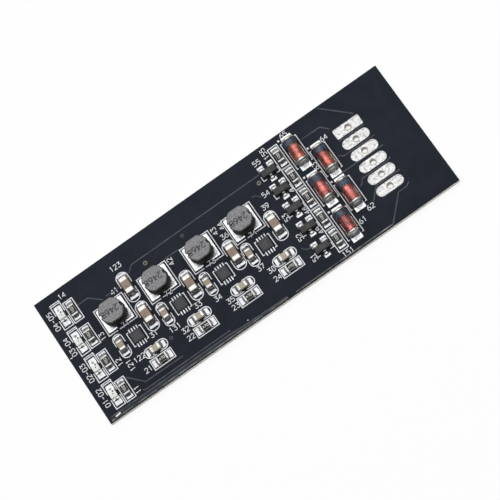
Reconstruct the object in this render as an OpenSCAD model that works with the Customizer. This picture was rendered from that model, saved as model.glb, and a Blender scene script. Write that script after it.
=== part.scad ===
// Battery balancer: a bare circuit board with four balancing stages between five cells.
// The left end is x = 0 and the near edge is y = 0 while the parts are placed. The finished
// part has its origin at the centre of the underside, with +X along the board and +Z up.

/* [Board] */
// Thickness of the laminate
board_t = 1.2; // [0.8:0.1:2.4]
// Bare board between the terminal pads and the right-hand end
end_margin = 7.29; // [2:0.01:20]
// Bare board between the tallest column of parts and the far edge
far_margin = 1.08; // [0.5:0.02:6]

/* [Terminal pads] */
// Number of wire terminals, one more than there are cells
terminal_count = 6; // [2:1:7]
// Distance between neighbouring terminals
terminal_pitch = 2.54; // [2.2:0.02:2.8]
// Length of a terminal pad along the board
terminal_l = 5.26; // [3:0.01:8]
// Width of a terminal pad
terminal_w = 1.95; // [1.6:0.01:2.1]
// Corner radius of the one square terminal pad, the farthest from the near edge
terminal_corner = 0.3; // [0.1:0.05:0.6]
// Bore of a plated terminal hole
terminal_bore = 1; // [0.6:0.05:1.3]
// Clear board between the second diode column and the terminal pads
terminal_gap = 2.27; // [0.5:0.01:6]
// Near edge of the board to the middle of the first terminal
terminal_edge = 6.12; // [2:0.02:7]

/* [Plating and solder] */
// Thickness of a pad let into the underside
plating_t = 0.05; // [0.02:0.01:0.1]
// Height of a tinned land above the board
land_t = 0.05; // [0.03:0.01:0.15]
// Length of land that runs in underneath a part
land_under = 0.4; // [0.2:0.05:0.5]
// Flat lip of land beyond the foot of a solder fillet
land_lip = 0.3; // [0.1:0.05:0.4]
// Amount that a land stands out beside its part
land_side = 0.03; // [0:0.01:0.1]
// Film of solder left under a diode's round end
solder_film = 0.03; // [0.02:0.01:0.08]

/* [Vias] */
// Outside diameter of an open via
via_d = 0.8; // [0.6:0.05:1]
// Bore of an open via
via_bore = 0.4; // [0.2:0.05:0.45]
// Near edge of the board to the open vias
via_edge = 19.7; // [19.2:0.05:22]
// Clear board between the second via and the transistors
via_gap = 0.57; // [0.2:0.01:1]

/* [Chip resistors and capacitors] */
// Length of a small chip part
chip_l = 2; // [1.6:0.05:2.4]
// Width of a small chip part
chip_w = 1.25; // [0.8:0.05:1.5]
// Height of a chip resistor
resistor_h = 0.5; // [0.35:0.05:0.8]
// Height of a small chip capacitor
capacitor_h = 0.9; // [0.6:0.05:1.5]
// Length of a metal end on a chip resistor
chip_end = 0.35; // [0.2:0.05:0.6]
// Length of a metal end on a small chip capacitor
capacitor_end = 0.5; // [0.2:0.05:0.6]
// Amount that the metal ends stand proud of the ceramic
chip_skin = 0.03; // [0.01:0.01:0.06]
// Radius of a capacitor's worn edges
capacitor_r = 0.15; // [0.05:0.01:0.2]
// Length of land beyond the end of a small chip part
chip_reach = 0.87; // [0.5:0.01:1.2]
// Share of a chip part's height that its solder climbs
solder_climb = 0.6; // [0.2:0.05:0.9]

/* [Cell capacitors] */
// Length of a cell capacitor
cell_l = 3.2; // [2.4:0.05:3.6]
// Width of a cell capacitor
cell_w = 1.6; // [1.2:0.05:2]
// Height of a cell capacitor
cell_h = 1.45; // [0.8:0.05:2]
// Length of a metal end on a cell capacitor
cell_end = 0.8; // [0.3:0.05:0.9]
// Length of land beyond the end of a cell capacitor
cell_reach = 0.9; // [0.5:0.05:1.2]

/* [Indicator lamps] */
// Length of an indicator lamp's carrier
lamp_l = 2; // [1.6:0.05:2.4]
// Width of an indicator lamp
lamp_w = 1.25; // [0.8:0.05:1.5]
// Thickness of the carrier under the lens
lamp_base_t = 0.35; // [0.2:0.05:0.6]
// Height of the lens above the carrier
lens_h = 0.45; // [0.2:0.05:0.8]
// Length of the lens where it meets the carrier
lens_l = 1.4; // [1:0.05:1.5]
// Lean of the lens ends away from upright
lens_draft = 8; // [0:1:20]
// Diameter of the plated notch in each end of the carrier
lamp_notch = 0.4; // [0.2:0.05:0.6]
// Length of land beyond the end of an indicator lamp
lamp_reach = 1.05; // [0.5:0.05:1.3]

/* [Inductors] */
// Diameter of the drum core's flanges
core_d = 4.5; // [4.2:0.05:5]
// Width of the flanges across their two flats
core_flat = 4.05; // [3.75:0.05:4.15]
// Height of the drum core
core_h = 3.2; // [2.5:0.05:4.5]
// Thickness of each flange
flange_t = 0.7; // [0.4:0.05:1]
// Chamfer round the top and bottom of the core
core_chamfer = 0.2; // [0.05:0.01:0.3]
// Diameter of the post between the flanges
post_d = 2.2; // [1.6:0.05:2.6]
// Outside diameter of the winding
winding_d = 3.6; // [3:0.05:3.7]
// Diameter of the enamelled wire
wire_d = 0.3; // [0.2:0.02:0.36]
// Width of the wire notch in each end of a flange
notch_w = 0.7; // [0.5:0.05:0.9]
// Depth of the wire notch
notch_depth = 0.45; // [0.4:0.01:0.6]
// Distance over the outside of the two inductor lands
coil_span = 5.36; // [5.1:0.02:6]
// Length of an inductor land along the board
coil_land_l = 1.75; // [1.4:0.05:2.2]
// Width of an inductor land across the board
coil_land_w = 4.6; // [4:0.05:5]

/* [Balancer chips] */
// Side of the square balancer chip
ic_side = 2; // [1.8:0.05:2.4]
// Height of the balancer chip
ic_h = 0.55; // [0.4:0.05:1]
// Contacts along each of two sides
ic_contacts = 4; // [2:1:4]
// Distance between neighbouring contacts
ic_pitch = 0.5; // [0.4:0.01:0.55]
// Width of a contact's land
ic_land_w = 0.25; // [0.15:0.01:0.32]
// Length of land beyond the side of the balancer chip
ic_reach = 0.82; // [0.4:0.02:1]
// Diameter of the moulded dimple beside the first contact
dimple_d = 0.3; // [0.2:0.02:0.4]
// Depth of the moulded dimple
dimple_depth = 0.04; // [0.02:0.01:0.1]

/* [Transistors] */
// Length of the transistor's moulding along the board
sot_l = 2.9; // [2.4:0.05:3]
// Width of the transistor's moulding
sot_w = 1.3; // [1:0.05:1.5]
// Height of the transistor above its lands
sot_h = 1; // [0.8:0.05:1.3]
// Gap under the moulding
sot_standoff = 0.06; // [0.02:0.01:0.15]
// Lean of the moulding's sides away from upright
sot_draft = 9; // [4:1:14]
// Distance over the tips of the leads
lead_span = 2.4; // [2.2:0.05:2.7]
// Distance between the two leads on the far side
lead_pitch = 1.9; // [1.6:0.05:2]
// Width of a lead
lead_w = 0.42; // [0.3:0.02:0.6]
// Thickness of a lead
lead_t = 0.12; // [0.08:0.01:0.16]
// Length of a lead's flat foot
foot_l = 0.28; // [0.2:0.02:0.32]
// Width of a transistor land
sot_land_w = 1.15; // [0.8:0.05:1.3]
// Length of land beyond a lead's tip
sot_reach = 0.58; // [0.3:0.02:1]

/* [Diodes] */
// Length of a diode over its metal ends
diode_l = 5; // [4:0.05:6]
// Outside diameter of the glass
glass_d = 2.36; // [2:0.02:2.44]
// Outside diameter of a metal end
cap_d = 2.5; // [2.46:0.02:3]
// Length of a metal end
cap_l = 0.45; // [0.35:0.05:0.9]
// Radius of a metal end's outer edge
cap_r = 0.15; // [0.05:0.01:0.3]
// Diameter of the stud inside the glass
stud_d = 1.3; // [0.9:0.05:1.6]
// Side of the silicon die between the studs
die_side = 0.8; // [0.5:0.05:0.85]
// Thickness of the silicon die
die_t = 0.3; // [0.2:0.05:0.5]
// Width of a diode land
diode_land_w = 2; // [1.7:0.05:2.3]
// Length of land beyond the end of a diode
diode_reach = 1; // [0.6:0.05:1.5]
// Height that the solder climbs on a diode's end
diode_climb = 0.45; // [0.2:0.05:0.6]

/* [Columns along the board] */
// Left-hand end of the board to the indicator lamps
lamp_edge = 2.47; // [1:0.01:5]
// Clear board between the lamps and their resistors
lamp_gap = 0.82; // [0.4:0.01:3]
// Clear board between the lamp resistors and the first stage
stage_start = 2.32; // [0.8:0.01:6]
// Clear board between one stage and the next
stage_gaps = [1.18, 1.01, 0.7]; // [0.5:0.01:4]
// Clear board between an inductor's lands and its cell capacitor
cell_gap = 0.9; // [0.4:0.05:3]
// Clear board between a supply capacitor and its balancer chip
ic_gap = 1.53; // [0.5:0.01:1.8]
// Left side of a stage to its sense resistor's lands
row_inset = 3.3; // [1:0.01:4]
// Clear board between the last stage and the transistors
transistor_gap = 1.91; // [1:0.01:5]
// Clear board between the transistors and the gate resistors
gate_gap = 0.7; // [0.4:0.01:3]
// Clear board between the gate resistors and the first diode column
diode_gap = 0.98; // [0.4:0.01:4]
// Clear board between the two diode columns
diode_column_gap = 0.85; // [0.4:0.01:3]

/* [Rows across the board] */
// Near edge of the board to the lamps' lands
lamp_row = 1.86; // [0.5:0.01:4]
// Clear board between one lamp's lands and the next
lamp_row_gap = 1.43; // [0.4:0.01:2]
// Near edge of the board to the lamp resistors' lands
lamp_resistor_row = 1.78; // [0.5:0.01:4]
// Clear board between neighbouring lamp resistors
lamp_resistor_gaps = [2, 1.75, 1.61]; // [0.3:0.01:3]
// Near edge of the board to the sense resistors
sense_row = 3.8; // [1:0.05:6]
// Clear board between the sense resistors and the filter capacitors
filter_gap = 0.83; // [0.4:0.01:3]
// Clear board between the filter capacitors and the balancer chips' lands
ic_row_gap = 1.21; // [0.4:0.01:3]
// Near end of the balancer chips' lands to the supply capacitors' lands
supply_inset = 0.16; // [0:0.01:0.6]
// Clear board between the balancer chips' lands and the inductor lands
coil_row_gap = 1.34; // [1.1:0.01:3]
// Clear board between the filter capacitors and the cell capacitors' lands
cell_row_gap = 2.37; // [0.6:0.01:5]
// Clear board between the first cell capacitor and the one above it
input_gap = 1.15; // [0.4:0.01:3]
// Sideways shift of each stage from the row
stage_shift = [-0.2, 0.02, 0, -0.02]; // [-0.3:0.01:0.3]
// Near edge of the board to the transistors' lands
transistor_row = 2.14; // [0.5:0.01:4]
// Clear board between neighbouring transistors
transistor_gaps = [0.82, 0.56, 0.42, 0.31]; // [0.2:0.01:2]
// Near edge of the board to the gate resistors' lands
gate_row = 1.98; // [0.5:0.01:4]
// Clear board between neighbouring gate resistors
gate_row_gap = 0.67; // [0.2:0.01:1.2]
// Near edge of the board to the first diode column's lands
diode_row = 1.51; // [0.5:0.01:4]
// Clear board between neighbouring diodes of the first column
diode_gaps = [0.46, 0.95]; // [0.2:0.01:2]
// Near edge of the board to the second diode column's lands
diode_row_2 = 5.58; // [0.5:0.01:9]
// Clear board between the two diodes of the second column
diode_gap_2 = 0.27; // [0.2:0.01:2]

/* [Hidden] */
$fn = 48;
fillet_steps = 5;
stages = len(stage_gaps) + 1;
cells = len(transistor_gaps) + 1;

// Overall lengths over the lands of each kind of part
chip_span = chip_l + 2 * chip_reach;
cell_span = cell_l + 2 * cell_reach;
lamp_span = lamp_l + 2 * lamp_reach;
ic_span = ic_side + 2 * ic_reach;
sot_span = lead_span + 2 * sot_reach;
sot_width = lead_pitch + sot_land_w;
diode_span = diode_l + 2 * diode_reach;
stage_w = coil_span + cell_gap + cell_w;
seat_z = board_t + land_t;

// Sum of the first n numbers in a list
function sum_first(list, n) = n == 0 ? 0 : list[n - 1] + sum_first(list, n - 1);
// Middle of piece i in a column of equal pieces with the given gaps between them
function stacked(start, span, gaps, i) = start + span / 2 + i * span + sum_first(gaps, i);
// The same gap repeated between n pieces
function even(gap, n) = [for (i = [1 : n - 1]) gap];

// Places along the board
lamp_x = lamp_edge + lamp_w / 2;
lamp_resistor_x = lamp_x + lamp_w / 2 + lamp_gap + chip_w / 2;
first_stage = lamp_resistor_x + chip_w / 2 + stage_start;
function stage_left(i) = first_stage + i * stage_w + sum_first(stage_gaps, i);
function coil_x(i) = stage_left(i) + coil_span / 2;
function cell_x(i) = stage_left(i) + coil_span + cell_gap + cell_w / 2;
function supply_x(i) = stage_left(i) + chip_w / 2;
function ic_x(i) = stage_left(i) + chip_w + ic_gap + ic_side / 2;
function row_x(i) = stage_left(i) + row_inset + chip_span / 2;
transistor_left = stage_left(stages - 1) + stage_w + transistor_gap;
transistor_x = transistor_left + sot_width / 2;
gate_x = transistor_left + sot_width + gate_gap + chip_w / 2;
diode_x = gate_x + chip_w / 2 + diode_gap + cap_d / 2;
diode_x_2 = diode_x + cap_d + diode_column_gap;
terminal_left = diode_x_2 + cap_d / 2 + terminal_gap;
terminal_x = terminal_left + terminal_l / 2;
board_l = terminal_left + terminal_l + end_margin;

// Places across the board
sense_y = sense_row + chip_w / 2;
filter_y = sense_y + chip_w + filter_gap;
ic_near = filter_y + chip_w / 2 + ic_row_gap;
ic_y = ic_near + ic_span / 2;
supply_y = ic_near + supply_inset + chip_span / 2;
coil_y = ic_near + ic_span + coil_row_gap + coil_land_w / 2;
cell_y = filter_y + chip_w / 2 + cell_row_gap + cell_span / 2;
input_y = cell_y + cell_span + input_gap;
terminal_places = [for (i = [0 : terminal_count - 1]) [terminal_x, terminal_edge + i * terminal_pitch]];
// The first column takes every other cell's diode, the second the ones between
first_column = len(diode_gaps) + 1;
function diode_y(i) = stacked(diode_row, diode_span, diode_gaps, i);
function diode_y_2(i) = stacked(diode_row_2, diode_span, [diode_gap_2], i);
diode_places = [for (i = [0 : cells - 1])
    i < first_column ? [diode_x, diode_y(i)] : [diode_x_2, diode_y_2(i - first_column)]];
via_places = [[coil_x(1), via_edge], [transistor_left - via_gap - via_d / 2, via_edge]];
lamp_places = [for (i = [0 : stages - 1])
    [lamp_x, stacked(lamp_row, lamp_span, even(lamp_row_gap, stages), i)]];
lamp_resistor_places = [for (i = [0 : stages - 1])
    [lamp_resistor_x, stacked(lamp_resistor_row, chip_span, lamp_resistor_gaps, i)]];
transistor_places = [for (i = [0 : cells - 1])
    [transistor_x, stacked(transistor_row, sot_span, transistor_gaps, i)]];
gate_places = [for (i = [0 : cells - 1])
    [gate_x, stacked(gate_row, chip_span, even(gate_row_gap, cells), i)]];
coil_places = [for (i = [0 : stages - 1]) [coil_x(i), coil_y + stage_shift[i]]];
supply_places = [for (i = [0 : stages - 1]) [supply_x(i), supply_y + stage_shift[i]]];
ic_places = [for (i = [0 : stages - 1]) [ic_x(i), ic_y + stage_shift[i]]];
filter_places = [for (i = [0 : stages - 1]) [row_x(i), filter_y + stage_shift[i]]];
sense_places = [for (i = [0 : stages - 1]) [row_x(i), sense_y + stage_shift[i]]];
// One cell capacitor beside each stage, and the input's own above the first
cell_places = concat([for (i = [0 : stages - 1]) [cell_x(i), cell_y]], [[cell_x(0), input_y]]);
// The board reaches far_margin past whichever column is tallest
board_w = far_margin + max(
    diode_y(first_column - 1) + diode_span / 2,
    diode_y_2(cells - first_column - 1) + diode_span / 2,
    gate_places[cells - 1][1] + chip_span / 2,
    transistor_places[cells - 1][1] + sot_span / 2,
    lamp_places[stages - 1][1] + lamp_span / 2,
    lamp_resistor_places[stages - 1][1] + chip_span / 2,
    input_y + cell_span / 2,
    coil_y + coil_land_w / 2,
    terminal_places[terminal_count - 1][1] + terminal_w / 2);

function names(stem, n) = [for (i = [1 : n]) str(stem, "_", i)];

// Moves a piece from the placing corner to the part's own origin, onto height z
module at(place, z = 0) {
    translate([place[0] - board_l / 2, place[1] - board_w / 2, z]) children();
}

// Stands a piece that was drawn along X across the board instead
module across() {
    rotate(90) children();
}

module rounded_rect(a, b, r) {
    square([a - 2 * r, b], center = true);
    square([a, b - 2 * r], center = true);
    for (x = [-1, 1], y = [-1, 1]) translate([x * (a / 2 - r), y * (b / 2 - r)]) circle(r);
}

// A block standing on z = 0 with every edge rounded
module rounded_block(l, w, h, r) {
    intersection() {
        linear_extrude(h) rounded_rect(l, w, r);
        translate([0, w / 2, h / 2]) rotate([90, 0, 0]) linear_extrude(w) rounded_rect(l, h, r);
        translate([-l / 2, 0, h / 2]) rotate([90, 0, 90]) linear_extrude(l) rounded_rect(w, h, r);
    }
}

// Board

// The last terminal is marked by its square pad, and the others have round ends
module terminal_outline(i) {
    straight = terminal_l - terminal_w;
    if (i == terminal_count - 1) rounded_rect(terminal_l, terminal_w, terminal_corner);
    else {
        square([straight, terminal_w], center = true);
        for (x = [-1, 1]) translate([x * straight / 2, 0]) circle(d = terminal_w);
    }
}

// A hole through the board with room for its pad on the underside
module plated_room(bore) {
    translate([0, 0, -board_t]) cylinder(d = bore, h = 3 * board_t);
    translate([0, 0, -plating_t]) linear_extrude(2 * plating_t) children();
}

// The two pads of a plated hole, one on top and one let in flush with the underside
module hole_pads(bore) {
    difference() {
        union() {
            linear_extrude(plating_t) children();
            translate([0, 0, board_t]) linear_extrude(land_t) children();
        }
        translate([0, 0, -board_t]) cylinder(d = bore, h = 3 * board_t);
    }
}

module circuit_board() {
    color("#23262c") difference() {
        at([0, 0]) cube([board_l, board_w, board_t]);
        for (i = [0 : terminal_count - 1]) at(terminal_places[i])
            plated_room(terminal_bore) terminal_outline(i);
        for (p = via_places) at(p) plated_room(via_bore) circle(d = via_d);
    }
}

module terminal_pads() {
    color("#e4e5e6") for (i = [0 : terminal_count - 1]) at(terminal_places[i])
        hole_pads(terminal_bore) terminal_outline(i);
}

module open_vias() {
    color("#c8c6bd") for (p = via_places) at(p) hole_pads(via_bore) circle(d = via_d);
}

// Solder

// Side view of a tinned land: it runs under the part's end and climbs it in a hollow fillet
module land_profile(part_end, reach, under, rise) {
    foot = reach - land_lip;
    climb = [for (k = [0 : fillet_steps]) let (a = 90 * k / fillet_steps)
        [part_end + foot * (1 - sin(a)), land_t + rise * (1 - cos(a))]];
    polygon(concat(
        [[part_end - under, 0], [part_end + reach, 0], [part_end + reach, land_t]],
        climb,
        [[part_end, land_t], [part_end - under, land_t]]));
}

module land(part_end, reach, under, rise, w) {
    rotate([90, 0, 0]) linear_extrude(w, center = true) land_profile(part_end, reach, under, rise);
}

// The two lands of a part of length l and width w that lies along X
module land_pair(l, reach, rise, w) {
    for (side = [0, 180]) rotate(side) land(l / 2, reach, land_under, rise, w + 2 * land_side);
}

module coil_lands() {
    for (side = [0, 180]) rotate(side)
        translate([coil_span / 2 - coil_land_l, -coil_land_w / 2, 0])
            cube([coil_land_l, coil_land_w, land_t]);
}

module ic_lands() {
    for (side = [90, 270], k = [1 : ic_contacts]) rotate(side)
        translate([0, (k - (ic_contacts + 1) / 2) * ic_pitch, 0])
            land(ic_side / 2, ic_reach, land_under, ic_h * solder_climb / 2, ic_land_w);
}

// Two lands on the far side and one on the near side, as the three leads stand
module transistor_lands() {
    for (x = [-1, 1]) translate([x * lead_pitch / 2, 0, 0]) rotate(90)
        land(lead_span / 2, sot_reach, land_under, lead_t, sot_land_w);
    rotate(270) land(lead_span / 2, sot_reach, land_under, lead_t, sot_land_w);
}

// A diode's land cradles the round metal end as well as climbing its face
module diode_land() {
    land(diode_l / 2, diode_reach, land_under + cap_l, diode_climb, diode_land_w);
    difference() {
        translate([diode_l / 2 - cap_l, -diode_land_w / 2, 0])
            cube([cap_l, diode_land_w, land_t + diode_climb]);
        translate([0, 0, land_t + solder_film + cap_d / 2]) rotate([0, 90, 0])
            cylinder(d = cap_d, h = diode_l);
    }
}

module diode_lands() {
    for (side = [90, 270]) rotate(side) diode_land();
}

module solder_lands() {
    color("#dfe0e2") {
        for (p = lamp_places) at(p, board_t) across()
            land_pair(lamp_l, lamp_reach, lamp_base_t * solder_climb, lamp_w);
        for (p = concat(lamp_resistor_places, gate_places)) at(p, board_t) across()
            land_pair(chip_l, chip_reach, resistor_h * solder_climb, chip_w);
        for (p = sense_places) at(p, board_t)
            land_pair(chip_l, chip_reach, resistor_h * solder_climb, chip_w);
        for (p = supply_places) at(p, board_t) across()
            land_pair(chip_l, chip_reach, capacitor_h * solder_climb, chip_w);
        for (p = filter_places) at(p, board_t)
            land_pair(chip_l, chip_reach, capacitor_h * solder_climb, chip_w);
        for (p = cell_places) at(p, board_t) across()
            land_pair(cell_l, cell_reach, cell_h * solder_climb, cell_w);
        for (p = coil_places) at(p, board_t) coil_lands();
        for (p = ic_places) at(p, board_t) ic_lands();
        for (p = transistor_places) at(p, board_t) transistor_lands();
        for (p = diode_places) at(p, board_t) diode_lands();
    }
}

// Chip parts, each drawn along X on z = 0

module chip_resistor() {
    translate([-chip_l / 2 + chip_skin, -chip_w / 2 + chip_skin, chip_skin])
        cube([chip_l - 2 * chip_skin, chip_w - 2 * chip_skin, resistor_h - 2 * chip_skin]);
    for (side = [0, 180]) rotate(side)
        translate([chip_l / 2 - chip_end, -chip_w / 2, 0]) cube([chip_end, chip_w, resistor_h]);
}

module chip_capacitor(l, w, h, end) {
    translate([0, 0, chip_skin])
        rounded_block(l - 2 * chip_skin, w - 2 * chip_skin, h - 2 * chip_skin, capacitor_r);
    intersection() {
        rounded_block(l, w, h, capacitor_r);
        for (side = [0, 180]) rotate(side) translate([l / 2 - end, -w, -h]) cube([end, 2 * w, 3 * h]);
    }
}

module lamp_resistor(i) {
    color("#2b2a28") at(lamp_resistor_places[i - 1], seat_z) across() chip_resistor();
}

module gate_resistor(i) {
    color("#2b2a28") at(gate_places[i - 1], seat_z) across() chip_resistor();
}

module sense_resistor(i) {
    color("#2b2a28") at(sense_places[i - 1], seat_z) chip_resistor();
}

module supply_capacitor(i) {
    color("#b39d86") at(supply_places[i - 1], seat_z) across()
        chip_capacitor(chip_l, chip_w, capacitor_h, capacitor_end);
}

module filter_capacitor(i) {
    color("#c3b8a2") at(filter_places[i - 1], seat_z)
        chip_capacitor(chip_l, chip_w, capacitor_h, capacitor_end);
}

module cell_capacitor(i) {
    color("#9a8372") at(cell_places[i - 1], seat_z) across()
        chip_capacitor(cell_l, cell_w, cell_h, cell_end);
}

// Indicator lamps: a plated carrier with a clear lens cast on it

module lens_profile() {
    lean = lens_h * tan(lens_draft);
    polygon([[-lens_l / 2, 0], [lens_l / 2, 0], [lens_l / 2 - lean, lens_h], [lean - lens_l / 2, lens_h]]);
}

module indicator_lamp(i) {
    color("#f4f3ea") at(lamp_places[i - 1], seat_z) across() {
        difference() {
            translate([-lamp_l / 2, -lamp_w / 2, 0]) cube([lamp_l, lamp_w, lamp_base_t]);
            for (side = [-1, 1]) translate([side * lamp_l / 2, 0, -lamp_base_t])
                cylinder(d = lamp_notch, h = 3 * lamp_base_t);
        }
        translate([0, lamp_w / 2, lamp_base_t]) rotate([90, 0, 0]) linear_extrude(lamp_w) lens_profile();
    }
}

// Inductors: a ferrite drum with two flats and a wire notch in each end

module flange_outline() {
    difference() {
        intersection() {
            circle(d = core_d);
            square([core_d, core_flat], center = true);
        }
        for (side = [-1, 1]) translate([side * core_d / 2, 0])
            square([2 * notch_depth, notch_w], center = true);
    }
}

// Turned envelope that breaks the core's top and bottom rims
module core_turning() {
    r = core_d / 2;
    rotate_extrude() polygon([[0, 0], [r - core_chamfer, 0], [r, core_chamfer],
        [r, core_h - core_chamfer], [r - core_chamfer, core_h], [0, core_h]]);
}

// Straight envelope that breaks the same rims along the two flats
module core_slab() {
    f = core_flat / 2;
    low = [[-f, core_chamfer], [core_chamfer - f, 0], [f - core_chamfer, 0], [f, core_chamfer]];
    high = [for (p = [3 : -1 : 0]) [low[p][0], core_h - low[p][1]]];
    rotate([90, 0, 90]) linear_extrude(core_d, center = true) polygon(concat(low, high));
}

module inductor_core(i) {
    color("#77777a") at(coil_places[i - 1], seat_z) {
        cylinder(d = post_d, h = core_h);
        intersection() {
            core_turning();
            core_slab();
            for (z = [0, core_h - flange_t]) translate([0, 0, z]) linear_extrude(flange_t) flange_outline();
        }
    }
}

// The turns of the outer layer show as rounds on a solid ring. Each tail goes down its notch.
module inductor_winding(i) {
    room = core_h - 2 * flange_t;
    turns = floor(room / wire_d);
    pitch = room / turns;
    layer_r = (winding_d - wire_d) / 2;
    tail_x = (core_d - notch_depth) / 2;
    color("#4a2f1e") at(coil_places[i - 1], seat_z) {
        translate([0, 0, flange_t]) rotate_extrude() {
            translate([post_d / 2, 0]) square([layer_r - post_d / 2, room]);
            for (k = [0 : turns - 1]) translate([layer_r, (k + 0.5) * pitch]) circle(d = wire_d);
        }
        for (side = [0, 180]) rotate(side) {
            translate([tail_x, 0, 0]) cylinder(d = wire_d, h = flange_t + wire_d / 2);
            translate([tail_x, 0, flange_t + wire_d / 2]) sphere(d = wire_d);
            translate([layer_r, 0, flange_t + wire_d / 2]) rotate([0, 90, 0])
                cylinder(d = wire_d, h = tail_x - layer_r);
        }
    }
}

// Balancer chips

module balancer_chip(i) {
    corner = ic_side / 2 - dimple_d;
    color("#3f3f43") at(ic_places[i - 1], seat_z) difference() {
        translate([-ic_side / 2, -ic_side / 2, 0]) cube([ic_side, ic_side, ic_h]);
        translate([corner, -corner, ic_h - dimple_depth]) cylinder(d = dimple_d, h = ic_h);
    }
}

// Transistors: a drafted moulding with three gull-wing leads

// End view of the moulding, widest at the parting line halfway up
module moulding_profile(w) {
    mid = (sot_h + sot_standoff) / 2;
    lean = (sot_h - mid) * tan(sot_draft);
    polygon([[-w / 2 + lean, sot_standoff], [w / 2 - lean, sot_standoff], [w / 2, mid],
        [w / 2 - lean, sot_h], [-w / 2 + lean, sot_h], [-w / 2, mid]]);
}

module moulding() {
    intersection() {
        translate([0, sot_w / 2, 0]) rotate([90, 0, 0]) linear_extrude(sot_w) moulding_profile(sot_l);
        translate([-sot_l / 2, 0, 0]) rotate([90, 0, 90]) linear_extrude(sot_l) moulding_profile(sot_w);
    }
}

// Side view of a lead from inside the moulding, over the shoulder and down to its foot
module lead_profile() {
    shoulder = (sot_h + sot_standoff) / 2;
    toe = lead_span / 2;
    ankle = toe - foot_l;
    root = sot_w / 2 - lead_t;
    knee = (root + lead_t + ankle) / 2;
    polygon([[root, shoulder + lead_t / 2], [knee, shoulder + lead_t / 2], [ankle, lead_t],
        [toe, lead_t], [toe, 0], [ankle - lead_t, 0],
        [knee - lead_t, shoulder - lead_t / 2], [root, shoulder - lead_t / 2]]);
}

module lead() {
    translate([-lead_w / 2, 0, 0]) rotate([90, 0, 90]) linear_extrude(lead_w) lead_profile();
}

module transistor(i) {
    color("#2a2a2c") at(transistor_places[i - 1], seat_z) {
        moulding();
        for (x = [-1, 1]) translate([x * lead_pitch / 2, 0, 0]) lead();
        rotate(180) lead();
    }
}

// Diodes: a glass sleeve sealed between two metal ends, lying across the board

module diode_axis(i) {
    at(diode_places[i - 1], seat_z + solder_film + cap_d / 2) rotate([-90, 0, 0]) children();
}

module diode_glass(i) {
    length = diode_l - 2 * cap_l;
    color("#c5482f") diode_axis(i) translate([0, 0, -length / 2]) difference() {
        cylinder(d = glass_d, h = length);
        translate([0, 0, -length]) cylinder(d = stud_d, h = 3 * length);
    }
}

// One metal end with its stud, turned about Z with the die's face at the bottom of the stud
module diode_end() {
    r = cap_d / 2;
    tip = diode_l / 2;
    rotate_extrude() {
        translate([0, die_t / 2]) square([stud_d / 2, tip - die_t / 2]);
        translate([0, tip - cap_l]) square([r, cap_l - cap_r]);
        translate([0, tip - cap_r]) square([r - cap_r, cap_r]);
        translate([r - cap_r, tip - cap_r]) intersection() {
            circle(cap_r);
            square(cap_r);
        }
    }
}

module diode_ends() {
    color("#c9cacc") for (i = [1 : cells]) diode_axis(i) {
        diode_end();
        rotate([180, 0, 0]) diode_end();
    }
}

module diode_dies() {
    color("#55565c") for (i = [1 : cells]) diode_axis(i) translate([0, 0, -die_t / 2])
        linear_extrude(die_t) square(die_side, center = true);
}

circuit_board();
terminal_pads();
open_vias();
solder_lands();
diode_ends();
diode_dies();
for (i = [1 : stages]) {
    indicator_lamp(i);
    lamp_resistor(i);
    inductor_core(i);
    inductor_winding(i);
    supply_capacitor(i);
    balancer_chip(i);
    filter_capacitor(i);
    sense_resistor(i);
}
for (i = [1 : stages + 1])
    cell_capacitor(i);
for (i = [1 : cells]) {
    transistor(i);
    gate_resistor(i);
    diode_glass(i);
}
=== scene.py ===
import math

import bmesh
import bpy
from mathutils import Matrix, Vector


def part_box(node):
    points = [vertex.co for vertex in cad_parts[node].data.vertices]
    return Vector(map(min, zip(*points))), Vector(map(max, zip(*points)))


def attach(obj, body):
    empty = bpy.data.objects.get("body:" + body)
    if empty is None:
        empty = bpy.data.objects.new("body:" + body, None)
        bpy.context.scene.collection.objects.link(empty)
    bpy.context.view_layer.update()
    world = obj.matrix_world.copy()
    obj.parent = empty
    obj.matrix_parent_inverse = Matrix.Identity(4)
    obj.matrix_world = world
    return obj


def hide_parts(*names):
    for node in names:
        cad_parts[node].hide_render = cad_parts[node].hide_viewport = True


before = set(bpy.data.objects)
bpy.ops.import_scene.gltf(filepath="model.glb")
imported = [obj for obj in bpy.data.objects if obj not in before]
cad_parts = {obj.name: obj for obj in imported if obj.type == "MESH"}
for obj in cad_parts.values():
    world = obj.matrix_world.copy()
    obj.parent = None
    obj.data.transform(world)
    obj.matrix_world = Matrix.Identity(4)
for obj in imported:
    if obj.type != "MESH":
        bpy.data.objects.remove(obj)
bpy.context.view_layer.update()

# Pieces are modelled in millimetres and scaled to metres when they are finished
mm = 0.001
levelGap = 1e-4  # places closer than this count as the same
foldAngle = 0.5  # faces that meet at less than this are taken as one


def boxMm(node):
    low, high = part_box(node)
    return low / mm, high / mm


def middleOf(node):
    low, high = boxMm(node)
    return Vector(((low.x + high.x) / 2, (low.y + high.y) / 2, low.z))


def sizeOf(node):
    # length, width and height of a part that lies along X or Y
    low, high = boxMm(node)
    x, y, height = high - low
    return max(x, y), min(x, y), height


def namesOf(stem):
    return sorted(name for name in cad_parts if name.rstrip("0123456789") == stem + "_")


boardLow, boardHigh = boxMm("circuit_board")
boardTop = boardHigh.z
lampNodes = namesOf("indicator_lamp")
lampResistorNodes = namesOf("lamp_resistor")
gateResistorNodes = namesOf("gate_resistor")
senseResistorNodes = namesOf("sense_resistor")
coreNodes = namesOf("inductor_core")
supplyNodes = namesOf("supply_capacitor")
filterNodes = namesOf("filter_capacitor")
cellNodes = namesOf("cell_capacitor")
chipNodes = namesOf("balancer_chip")
transistorNodes = namesOf("transistor")
diodeNodes = namesOf("diode_glass")


def onBoard(x, y):
    # a place measured from the left-hand end and the near edge
    return boardLow.x + x, boardLow.y + y


# Mesh tools


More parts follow.
